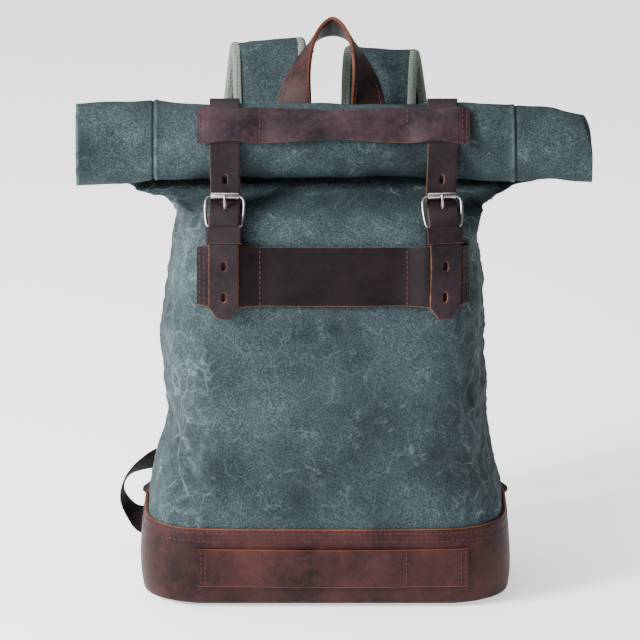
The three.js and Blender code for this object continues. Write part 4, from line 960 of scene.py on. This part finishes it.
@dataclass
class CanvasBody:
    """The bag's body: cloth with crease lines down its sides and folds under the roll, sunk in and darkened with
    painted shade.
    """

    finishes: Finishes
    voxel: float = 4.5 * MM
    half_width: float = 155 * MM
    half_depth: float = 76 * MM
    radius: float = 110 * MM
    base_top: float = 72 * MM
    top: float = 326 * MM
    neck: float = 345 * MM
    end_fade: float = 8 * MM
    front_angle: float = 58.0
    side_angle: float = 46.0
    side_start: float = 92 * MM
    back_angle: float = 122.0

    def outer_skin(self) -> bpy.types.Object:
        """The CAD body's outside, closed at the neck and evened out.

        Returns:
            The new object.
        """
        piece = node_copy("canvas_body", "Body canvas")
        shape = bmesh.new()
        shape.from_mesh(piece.data)
        rim = max(vertex.co.z for vertex in shape.verts) - 0.2 * MM
        edge = [face for face in shape.faces if all(vertex.co.z > rim for vertex in face.verts)]
        bmesh.ops.delete(shape, geom=edge, context="FACES_ONLY")
        lowest = min(shape.verts, key=lambda vertex: vertex.co.z)
        outside, waiting = {lowest}, [lowest]
        while waiting:
            for face in waiting.pop().link_faces:
                fresh = [vertex for vertex in face.verts if vertex not in outside]
                outside.update(fresh)
                waiting.extend(fresh)
        inner = [vertex for vertex in shape.verts if vertex not in outside]
        bmesh.ops.delete(shape, geom=inner, context="VERTS")
        bmesh.ops.holes_fill(shape, edges=[e for e in shape.edges if e.is_boundary], sides=0)
        bmesh.ops.recalc_face_normals(shape, faces=shape.faces)
        shape.to_mesh(piece.data)
        shape.free()
        remeshed(piece, self.voxel, 6)
        return piece

    def hidden_creases(self) -> list[tuple[float, float, float, float, float]]:
        """Crease lines round the body's back and sides, by angle in degrees and height in metres.

        Returns:
            A row for each line: start angle, start height, end angle, end height, strength.
        """
        random = np.random.default_rng(SEED)
        lines = []
        for side in Side:
            for start in (84, 101, 122, 146):
                height, angle, step = self.base_top + 6 * MM, float(start), 1
                while height < self.top:
                    rise = random.uniform(20, 46) * MM
                    swing = random.uniform(5, 13) * step
                    strength = random.uniform(0.35, 0.9)
                    lines.append((side.sign * angle, height, side.sign * (angle + swing), height + rise, strength))
                    angle, height, step = angle + swing, height + rise, -step
        return lines

    def crumple(self, points: np.ndarray) -> np.ndarray:
        """How far each point lies from the edges of crumpled facets.

        Args:
            points: the skin's points.

        Returns:
            0 on an edge, up to about 1 in the middle of a facet.
        """
        noise.seed_set(SEED)  # without a seed, noise_vector differs from run to run
        gaps = np.empty(len(points))
        for index, point in enumerate(points):
            place = Vector(point)
            place += noise.noise_vector(place * 22) * 0.014
            near, _ = noise.voronoi(Vector((place.x * 30, place.y * 30, place.z * 19)))
            gaps[index] = near[1] - near[0]
        return gaps

    def twigs(self) -> list[tuple[Crease, float, tuple[tuple[float, float], ...]]]:
        """Short faint creases that branch off the long ones.

        Returns:
            Rows like those of the long creases.
        """
        random = np.random.default_rng(SEED + 1)
        rows = []
        for kind, strength, line in SEEN_CREASES:
            if kind is Crease.SHADED_FOLD:
                continue
            for u, v in line:
                for _ in range(3):
                    turn, length = random.uniform(0, 2 * math.pi), random.uniform(7, 20)
                    end = (u + length * 0.55 * math.cos(turn), v + length * math.sin(turn))
                    rows.append((kind, strength * random.uniform(0.3, 0.6), ((u, v), end)))
        return rows

    def creases(
        self, points: np.ndarray, normals: np.ndarray, angle: np.ndarray
    ) -> tuple[np.ndarray, np.ndarray]:
        """How strongly each point lies on a ridge and in a fold that gets painted shade.

        Args:
            points: the skin's points.
            normals: their normals.
            angle: their degrees round the body, from its front.

        Returns:
            The ridges and the folds, each from 0 to 1.
        """
        x, y, z = points.T
        ridge, shaded_fold = np.zeros(len(points)), np.zeros(len(points))
        for a0, z0, a1, z1, strength in self.hidden_creases():
            start, end = (np.radians(a) * self.radius for a in (a0, a1))
            gap = gap_to_line(np.radians(angle) * self.radius, z, (start, z0), (end, z1))
            ridge = np.maximum(ridge, strength * np.exp(-gap / (CREASE_WIDTH[Crease.RIDGE] * MM)))
        tilt = math.radians(VIEW_TILT)
        rise = z * math.cos(tilt) + y * math.sin(tilt)
        facing = np.clip((normals[:, 2] * math.sin(tilt) - normals[:, 1] * math.cos(tilt)) * 6 + 1.2, 0, 1)
        seen_x = x + (np.sin(x * 210 + rise * 150) + np.sin(rise * 330 - x * 130 + 2)) * 0.8 * MM
        seen_rise = rise + np.sin(x * 260 - rise * 120 + 1) * 0.9 * MM
        for kind, strength, line in SEEN_CREASES + self.twigs():
            shape = np.zeros(len(points))
            for start, end in zip(line, line[1:]):
                ends = [(u * MM, v * MM) for u, v in (start, end)]
                gap = gap_to_line(seen_x, seen_rise, *ends)
                shape = np.maximum(shape, np.exp(-gap / (CREASE_WIDTH[kind] * MM)))
            if kind is Crease.SHADED_FOLD:
                shaded_fold = np.maximum(shaded_fold, strength * shape * facing)
            else:
                ridge = np.maximum(ridge, strength * shape * facing)
        return ridge, shaded_fold

    def build(self) -> bpy.types.Object:
        """Makes the body's canvas.

        Returns:
            The finished object.
        """
        piece = self.outer_skin()
        finer = piece.modifiers.new("Finer", "SUBSURF")
        finer.levels = finer.render_levels = 1
        baked(piece)
        points, normals = points_of(piece), normals_of(piece)
        x, y, z = points.T
        angle = np.degrees(np.arctan2(x / self.half_width, -y / self.half_depth))
        turned = np.abs(angle)
        ridge, shaded_fold = self.creases(points, normals, angle)
        facets = self.crumple(points)

        far_out = np.maximum((turned - self.side_angle) / 16, (np.abs(x) - self.side_start) / (22 * MM))
        sideways = np.clip(far_out, 0.1, 1)
        above = np.clip((z - self.base_top) / self.end_fade, 0, 1)
        above *= np.clip((self.neck - z) / self.end_fade, 0, 1)
        waves = sum(np.sin(x * kx + z * kz + y * ky + phase) for kx, ky, kz, phase in BODY_WAVES)
        push = ridge * 2.6 - 1.6 - shaded_fold * 5 + waves * 0.5 + np.exp(-facets / 0.3) * 1.7
        push = push * MM * sideways * above
        push = np.where(turned < self.front_angle, np.minimum(push, 0.1 * MM), push)
        set_points(piece, points + normals * push[:, None])

        fine = np.exp(-facets / 0.06) * 0.24 * np.clip((sideways - 0.2) * 2, 0, 1)
        set_mask(piece, "crease", np.clip(np.maximum(ridge**4 * 0.5, fine) * above, 0, 1))
        behind = np.clip((turned - self.back_angle) / 14, 0, 1)
        set_mask(piece, "crumple", sideways * (0.8 - 0.55 * behind))
        # Painted shade in the folds, read by the canvas material.
        set_mask(piece, "shaded_fold", np.clip(shaded_fold, 0, 1))
        return finished(piece, self.finishes.canvas, "canvas", "canvas_body")


@dataclass
class CanvasRoll:
    """The rolled top: one doubled cloth wound towards the front."""

    finishes: Finishes
    seams: Seams
    width: float = 427 * MM
    middle: float = 2.5 * MM
    height: float = 70 * MM
    depth: float = 54 * MM
    forward: float = 8 * MM
    neck: float = 353 * MM
    sink: float = 4.2 * MM
    neck_back: float = 22 * MM
    wall: float = 2.6 * MM
    pitch: float = 5.2 * MM
    turns: float = 2.6
    start: float = -8.0
    step: float = 7.5
    stations: int = 130
    stitched_to: float = 215.0
    end_slant: float = 12 * MM
    seam_places: tuple[float, float] = (-0.70, 0.705)
    sections: tuple[tuple[float, float, float, float], ...] = (
        (-1, 1.06, 1, -0.045),
        (-0.84, 1.05, 1, -0.015),
        (-0.69, 1.02, 1.02, 0.005),
        (-0.48, 0.98, 1, 0),
        (-0.2, 0.95, 0.97, 0.01),
        (0.2, 0.95, 0.97, 0.01),
        (0.48, 0.98, 1, 0),
        (0.69, 0.98, 1.02, -0.02),
        (0.86, 0.95, 0.98, -0.03),
        (1, 0.9, 0.95, -0.09),
    )

    def ripple(self, along: float, angle: np.ndarray) -> np.ndarray:
        """How far the cloth waves in and out, in metres.

        Args:
            along: place along the roll, from -1 to 1.
            angle: degrees round the spiral.

        Returns:
            An offset for each angle.
        """
        turn = np.radians(angle)
        wave = 0.9 * np.sin(9 * along + 2 * turn) + 0.5 * np.sin(21 * along - 3 * turn + 1)
        wave += 0.35 * np.sin(37 * along + 5 * turn + 2)
        return wave * MM * 0.8

    def section(self, along: float) -> np.ndarray:
        """One closed ring of the wall, out along the spiral and back.

        Args:
            along: place along the roll, from -1 to 1.

        Returns:
            The ring's points.
        """
        table = np.array(self.sections)
        high, deep, lift = (np.interp(along, table[:, 0], table[:, column]) for column in (1, 2, 3))
        axis_z = self.neck - self.sink + self.height / 2 + lift * self.height
        half_y, half_z = deep * self.depth / 2, high * self.height / 2
        angle = np.arange(self.start, self.start + self.turns * 360 + 1, self.step)
        inset = self.wall / 2 + self.pitch * (angle - self.start) / 360 - self.ripple(along, angle)
        for place in self.seam_places:
            inner = (place - along) * math.copysign(1, place)
            ridge = math.exp(-(((inner - 0.012) / 0.009) ** 2))
            groove = math.exp(-((inner / 0.004) ** 2))
            inset = inset - (ridge * 0.7 - groove * 1.3) * MM
        turn = np.radians(angle)
        across = -self.forward + (half_y - inset) * np.cos(turn)
        line = np.stack([across, axis_z + (half_z - inset) * np.sin(turn)], 1)
        foot = [[self.neck_back, self.neck - 4 * MM], [self.neck_back - 1 * MM, self.neck + 12 * MM]]
        line = np.vstack([foot, line])
        half = np.full(len(line), self.wall / 2)
        half[:2] = 4.4 * MM, 2.6 * MM
        way = np.gradient(line, axis=0)
        way /= np.linalg.norm(way, axis=1, keepdims=True)
        out = np.stack([way[:, 1], -way[:, 0]], 1)
        top = np.clip((line[:, 1] - axis_z) / (self.height / 2), 0, 1)
        slant = self.end_slant * max(0.0, along) ** 8 * top**2
        x = self.middle + along * self.width / 2 - slant
        rings = [np.column_stack([x, line + out * half[:, None] * sign]) for sign in (1, -1)]
        return np.vstack([rings[0], rings[1][::-1]])

    def skin(self) -> bpy.types.Object:
        """Joins the rings to one closed skin, with more of them beside the seams.

        Returns:
            The new object.
        """
        close = [place + np.linspace(-0.024, 0.024, 17) for place in self.seam_places]
        even = np.linspace(-1, 1, self.stations)
        places = np.unique(np.round(np.concatenate([even, *close]), 4))
        rings = [self.section(place) for place in places]
        count = len(rings[0])
        faces = []
        for first in range(0, (len(places) - 1) * count, count):
            for k in range(count):
                near, far = (first + (k + step) % count for step in (0, 1))
                faces.append((near, far, far + count, near + count))
        for base in (0, (len(places) - 1) * count):
            for k in range(count // 2 - 1):
                quad = (base + k, base + k + 1, base + count - 2 - k, base + count - 1 - k)
                faces.append(quad if base else quad[::-1])
        mesh = bpy.data.meshes.new("Rolled top")
        mesh.from_pydata(np.vstack(rings).tolist(), [], faces)
        shape = bmesh.new()
        shape.from_mesh(mesh)
        bmesh.ops.recalc_face_normals(shape, faces=shape.faces)
        shape.to_mesh(mesh)
        shape.free()
        return link("Rolled top", mesh)

    def build(self) -> bpy.types.Object:
        """Makes the roll and its seams.

        Returns:
            The finished object.
        """
        piece = self.skin()
        along = (points_of(piece)[:, 0] - self.middle) / (self.width / 2)
        ridges = [np.abs((place - along) * math.copysign(1, place) - 0.011) for place in self.seam_places]
        grooves = [np.abs(along - place) for place in self.seam_places]
        ends = np.clip((np.abs(along) - 0.985) / 0.012, 0, 1) * 0.5
        # Paler at the roll's two ends, and a painted highlight along the raised ridges beside the seams.
        set_mask(piece, "crease", np.clip(np.exp(-np.minimum(*ridges) / 0.005) * 0.28 + ends, 0, 1))
        # Painted shade in the seam grooves.
        set_mask(piece, "shaded_fold", np.exp(-((np.minimum(*grooves) / 0.0035) ** 2)) * 0.8)
        finished(piece, self.finishes.canvas, "canvas", "canvas_roll")
        outer = range(2, 2 + int(self.stitched_to / self.step))
        lines = [[Vector(self.section(place)[k]) for k in outer] for place in self.seam_places]
        thread = Thread(4.4 * MM, 3.2 * MM, 0.62 * MM)
        self.seams.sew("Roll stitches", lines, thread, self.finishes.canvas_thread, "canvas")
        return piece


@dataclass
class LeatherPiece:
    """A leather piece from its CAD node: subdivided, or remeshed where it has holes."""

    node: str
    name: str
    material: bpy.types.Material
    thickness: float = 2.4 * MM
    voxel: float | None = None
    smoothing: int = 6

    def build(self) -> bpy.types.Object:
        """Makes the piece.

        Returns:
            The finished object.
        """
        piece = node_copy(self.node, self.name)
        edges = CutFaces(piece, self.thickness)
        if self.voxel is None:
            edges.mark_own()
            subdivided(piece, 3, sharp=60)
        else:
            remeshed(piece, self.voxel, self.smoothing)
            edges.mark(piece)
        return finished(piece, self.material, "leather", self.node)


@dataclass
class Gear:
    """All leather on the bag, with its seams. Heights, places and widths are in millimetres."""

    finishes: Finishes
    seams: Seams
    strip_middle: float = 2.0
    strip_half: float = 112.5
    stitch_places: tuple[float, ...] = (-110, -106.5, -60.7, 60.7, 106.5, 110)
    strip_heights: tuple[tuple[str, float, float], ...] = (
        ("front_strip", 267, 309.5),
        ("base_strip", 24, 50),
    )
    roll_axis: tuple[float, float] = (-8, 383.8)
    roll_strip_middle: float = 406.2
    base_rows: tuple[float, float] = (66.6, 59.5)
    trees: dict[str, BVHTree] = field(default_factory=dict)

    def build(self) -> None:
        """Makes the leather pieces and then sews them."""
        f = self.finishes
        plan = [
            LeatherPiece("base_leather", "Leather base", f.base),
            LeatherPiece("roll_strip", "Roll strip", f.top_panel),
            LeatherPiece("front_strip", "Front strip", f.panel),
            LeatherPiece("base_strip", "Base strip", f.base),
            LeatherPiece("yoke", "Back yoke", f.panel),
            LeatherPiece("carry_handle", "Carry handle", f.handle, 3.4 * MM),
        ]
        for side in Side:
            s = side.value
            plan += [
                LeatherPiece(f"strap_{s}", f"Buckled strap {s}", f.leather, 2.5 * MM, 0.7 * MM, 4),
                LeatherPiece(f"keeper_{s}", f"Keeper {s}", f.leather, 1.5 * MM, 0.5 * MM, 4),
                LeatherPiece(f"chape_{s}", f"Chape {s}", f.leather, 1.6 * MM, 0.5 * MM, 4),
                LeatherPiece(f"corner_tab_{s}", f"Corner tab {s}", f.leather, 3 * MM, 0.6 * MM, 4),
            ]
        for one in plan:
            piece = one.build()
            if one.node == "roll_strip":
                self.gather(piece)
            self.trees[one.node] = tree_of(piece)
        self.sew_strips()
        self.sew_base()
        self.sew_handle()

    def gather(self, piece: bpy.types.Object) -> None:
        """Draws the roll strip's long edges in where it bulges between its stitch lines.

        Args:
            piece: the roll strip.
        """
        points = points_of(piece)
        share = np.abs(points[:, 0] / MM - self.strip_middle) / self.strip_half
        between = np.where(share < 0.54, share / 0.54 * 0.5 + 0.5, (share - 0.54) / 0.44)
        bulge = np.sin(np.clip(between, 0, 1) * math.pi) ** 2
        points[:, 2] += (self.roll_strip_middle * MM - points[:, 2]) * bulge * 0.22
        set_points(piece, points)

    def sew_handle(self) -> None:
        """Sews the handle's two long edges where they can be seen."""
        heights = np.arange(330, 452, 2.0)
        lines = []
        for span in ((-60, 0), (0, 60)):
            lines += edge_lines(self.trees["carry_handle"], span, heights, Way.FROM_FRONT, 3.2 * MM)
        self.seams.sew("Handle stitches", lines, Thread(), self.finishes.thread)

    def roll_line(self, x: float) -> list[Vector]:
        """One stitch line over the roll strip's front, looked for from the roll's axis.

        Args:
            x: the line's place.

        Returns:
            Its points.
        """
        line = []
        middle = Vector((x, *self.roll_axis)) * MM
        for angle in np.radians(np.linspace(117, 168, 36)):
            way = Vector((0, -math.cos(angle), -math.sin(angle)))
            hit = self.trees["roll_strip"].ray_cast(middle - way * 0.1, way)
            if hit[0] is not None and (hit[0] - middle).length > 0.03:
                line.append(hit[0] + hit[1] * THREAD_LIFT)
        return line

    def sew_strips(self) -> None:
        """Sews the gear strips down at their four stitch lines."""
        places = [self.strip_middle + place for place in self.stitch_places]
        lines = []
        for node, low, high in self.strip_heights:
            for x in places:
                upright = across_line((x, low), (x, high), 40)
                lines.append(seen_from(self.trees[node], upright, Way.FROM_FRONT))
        lines += [self.roll_line(x) for x in places]
        self.seams.sew("Strip stitches", lines, Thread(), self.finishes.thread)

    def sew_base(self) -> None:
        """Sews the leather base's upper edge with two rows all round."""
        lines = []
        for height in self.base_rows:
            line = []
            for angle in np.radians(np.linspace(0, 360, 260)):
                out = Vector((math.cos(angle), math.sin(angle), 0))
                start = out * 0.3 + Vector((0, 0, height * MM))
                aim = Vector((out.x * 0.08, 0, height * MM)) - start
                hit = self.trees["base_leather"].ray_cast(start, aim.normalized())
                if hit[0] is not None:
                    line.append(hit[0] + hit[1] * THREAD_LIFT)
            lines.append(line)
        self.seams.sew("Base stitches", lines, Thread(), self.finishes.thread)


@dataclass
class Hardware:
    """Buckles, slides and their metal."""

    finishes: Finishes
    edge: float = 0.35 * MM
    regained: float = 0.12 * MM

    def bevelled(self, piece: bpy.types.Object) -> None:
        """Breaks a piece's sharp edges.

        Args:
            piece: a roller or a slide.
        """
        edge = piece.modifiers.new("Edge", "BEVEL")
        edge.width = self.edge
        edge.segments = 2
        edge.limit_method = "ANGLE"
        edge.angle_limit = math.radians(50)
        baked(piece)

    def rounded(self, piece: bpy.types.Object) -> None:
        """Rounds a bent wire and gives back the thickness that this takes.

        Args:
            piece: a frame or a prong.
        """
        subdivided(piece, 2)
        set_points(piece, points_of(piece) + normals_of(piece) * self.regained)

    def build(self) -> None:
        """Rounds every metal node."""
        bright, dark = self.finishes.metal, self.finishes.dark_metal
        plan = (
            ("buckle", "Buckle frame", self.rounded, bright),
            ("prong", "Prong", self.rounded, bright),
            ("roller", "Roller", self.bevelled, bright),
            ("slide", "Slide", self.bevelled, dark),
        )
        for side in Side:
            for node, label, shape, metal in plan:
                piece = node_copy(f"{node}_{side.value}", f"{label} {side.value}")
                shape(piece)
                finished(piece, metal, "metal", f"{node}_{side.value}")


@dataclass
class ShoulderStraps:
    """Padded shoulder straps with bound edges, and the webbing below them."""

    finishes: Finishes
    seams: Seams
    swell: float = 3.5 * MM

    def pad(self, side: Side) -> bpy.types.Object:
        """One padded strap, swollen by a cloth simulation.

        Args:
            side: which strap.

        Returns:
            The finished object.
        """
        node = f"shoulder_pad_{side.value}"
        piece = node_copy(node, f"Shoulder pad {side.value}")
        remeshed(piece, 4 * MM, 4)
        rest = points_of(piece)
        self.inflate(piece)
        moved = points_of(piece) - rest
        far = np.linalg.norm(moved, axis=1, keepdims=True)
        most = self.swell * self.room(rest, side)[:, None]
        set_points(piece, rest + moved * np.minimum(1, most / np.maximum(far, 1e-9)))
        finer = piece.modifiers.new("Finer", "SUBSURF")
        finer.levels = finer.render_levels = 1
        baked(piece)
        set_mask(piece, "crumple", np.full(len(piece.data.vertices), 0.15))
        finished(piece, self.finishes.canvas, "canvas", node)
        return piece

    def room(self, points: np.ndarray, side: Side) -> np.ndarray:
        """How freely a pad may swell: fully in its middle, and not at all beside its tapes.

        Args:
            points: the pad's points.
            side: which strap it belongs to.

        Returns:
            From 0 to 1 for each point.
        """
        tapes = [tree_of(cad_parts[f"binding_{edge}_{side.value}"]) for edge in ("outer", "inner")]
        gaps = np.array([min(tape.find_nearest(Vector(point))[3] for tape in tapes) for point in points])
        return np.clip((gaps - 1.5 * MM) / (14 * MM), 0, 1)

    def inflate(self, piece: bpy.types.Object) -> None:
        """Runs the cloth simulation on a pad and keeps its last frame.

        Args:
            piece: the pad.
        """
        cloth = piece.modifiers.new("Swell", "CLOTH")
        cloth.settings.use_pressure = True
        cloth.settings.uniform_pressure_force = 4
        cloth.settings.effector_weights.gravity = 0
        cloth.settings.quality = 5
        scene = bpy.context.scene
        for step in range(1, 21):
            scene.frame_set(step)
        baked(piece)
        scene.frame_set(1)

    def sew_tape(self, tape: bpy.types.Object, side: Side) -> None:
        """Sews one tape down with two rows on the arch's front and on the back.

        Args:
            tape: the binding tape.
            side: which strap it belongs to.
        """
        tree = tree_of(tape)
        span = (-4, 125) if side is Side.RIGHT else (-125, 4)
        lines = edge_lines(tree, span, np.arange(328, 432, 2.0), Way.FROM_FRONT, 1.8 * MM)
        lines += edge_lines(tree, span, np.arange(128, 426, 2.0), Way.FROM_BACK, 1.8 * MM)
        name = tape.name.replace("Binding", "Binding_stitches")
        thread = Thread(3.4 * MM, 2.4 * MM, 0.35 * MM)
        self.seams.sew(name, lines, thread, self.finishes.tape_thread, "binding")

    def ribbed(self, node: str, name: str, material: bpy.types.Material, slot: str) -> bpy.types.Object:
        """One tape or webbing with ribs across its length.

        Args:
            node: the CAD node that it stands for.
            name: the piece's name.
            material: what it is made of.
            slot: a material slot name, handed on to finished().

        Returns:
            The finished object.
        """
        piece = node_copy(node, name)
        subdivided(piece, 2)
        set_mask(piece, "ribs", points_of(piece)[:, 2])
        return finished(piece, material, slot, node)

    def build(self) -> None:
        """Makes both straps with their tapes and webbing."""
        for side in Side:
            s = side.value
            self.pad(side)
            for edge in ("outer", "inner"):
                node = f"binding_{edge}_{s}"
                tape = self.ribbed(node, f"Binding {edge} {s}", self.finishes.tape, "binding")
                self.sew_tape(tape, side)
            self.ribbed(f"webbing_{s}", f"Webbing {s}", self.finishes.webbing, "webbing")


@dataclass(frozen=True)
class Studio:
    """A pale floor, soft light and the photograph's camera."""

    elevation: float = VIEW_TILT
    distance: float = 8.0
    aim: tuple[float, float, float] = (-9.2 * MM, 0.0, 228 * MM)
    picture_width: float = 533 * MM
    floor_reach: float = 6.0
    world_strength: float = 0.3
    lamps: tuple[tuple[str, tuple[float, float, float], float, float], ...] = (
        ("Key", (-2.2, -1.3, 1.5), 0.8, 225),
        ("Fill", (-1.2, -1.8, 1.0), 1.2, 36),
        ("Top", (-0.4, 0.5, 2.2), 1.6, 48),
    )

    def floor(self) -> None:
        """Lays the plain floor."""
        mesh = bpy.data.meshes.new("Floor")
        far = self.floor_reach
        corners = [(-far, -far, 0), (far, -far, 0), (far, far, 0), (-far, far, 0)]
        mesh.from_pydata(corners, [], [(0, 1, 2, 3)])
        piece = link("Floor", mesh)
        surface = Surface("Pale floor", (250, 250, 250))
        surface.shader.inputs["Emission Color"].default_value = (1, 1, 1, 1)
        surface.shader.inputs["Emission Strength"].default_value = 0.85
        mesh.materials.append(surface.finish(0.9, 0.5))

    def light(self, name: str, place: tuple[float, float, float], size: float, power: float) -> None:
        """Hangs one soft lamp that looks at the bag.

        Args:
            name: the lamp's name.
            place: where it hangs, in metres.
            size: its width in metres.
            power: its power in watts.
        """
        lamp = bpy.data.lights.new(name, "AREA")
        lamp.energy = power
        lamp.shape = "SQUARE"
        lamp.size = size
        made = bpy.data.objects.new(name, lamp)
        made.location = place
        made.rotation_euler = (Vector((0, 0, 0.22)) - Vector(place)).to_track_quat("-Z", "Y").to_euler()
        bpy.context.scene.collection.objects.link(made)

    def build(self) -> None:
        """Sets up floor, world, lamps and camera."""
        self.floor()
        world = bpy.data.worlds.new("Studio")
        world.use_nodes = True
        background = world.node_tree.nodes["Background"]
        background.inputs["Color"].default_value = (1, 1, 1, 1)
        background.inputs["Strength"].default_value = self.world_strength
        bpy.context.scene.world = world
        for lamp in self.lamps:
            self.light(*lamp)
        camera = bpy.data.cameras.new("Camera")
        camera.sensor_width = 36
        camera.lens = 36 * self.distance / self.picture_width
        camera.clip_end = 50
        made = bpy.data.objects.new("Camera", camera)
        tilt = math.radians(self.elevation)
        back = Vector((0, -math.cos(tilt), math.sin(tilt)))
        made.location = Vector(self.aim) + back * self.distance
        made.rotation_mode = "QUATERNION"
        made.rotation_quaternion = (-back).to_track_quat("-Z", "Y")
        bpy.context.scene.collection.objects.link(made)
        bpy.context.scene.camera = made


def main() -> None:
    """Builds the stage and then the bag, piece by piece."""
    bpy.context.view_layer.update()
    Studio().build()
    finishes = Finishes()
    seams = Seams()
    CanvasBody(finishes).build()
    CanvasRoll(finishes, seams).build()
    Gear(finishes, seams).build()
    Hardware(finishes).build()
    ShoulderStraps(finishes, seams).build()


if __name__ == "__main__":
    main()
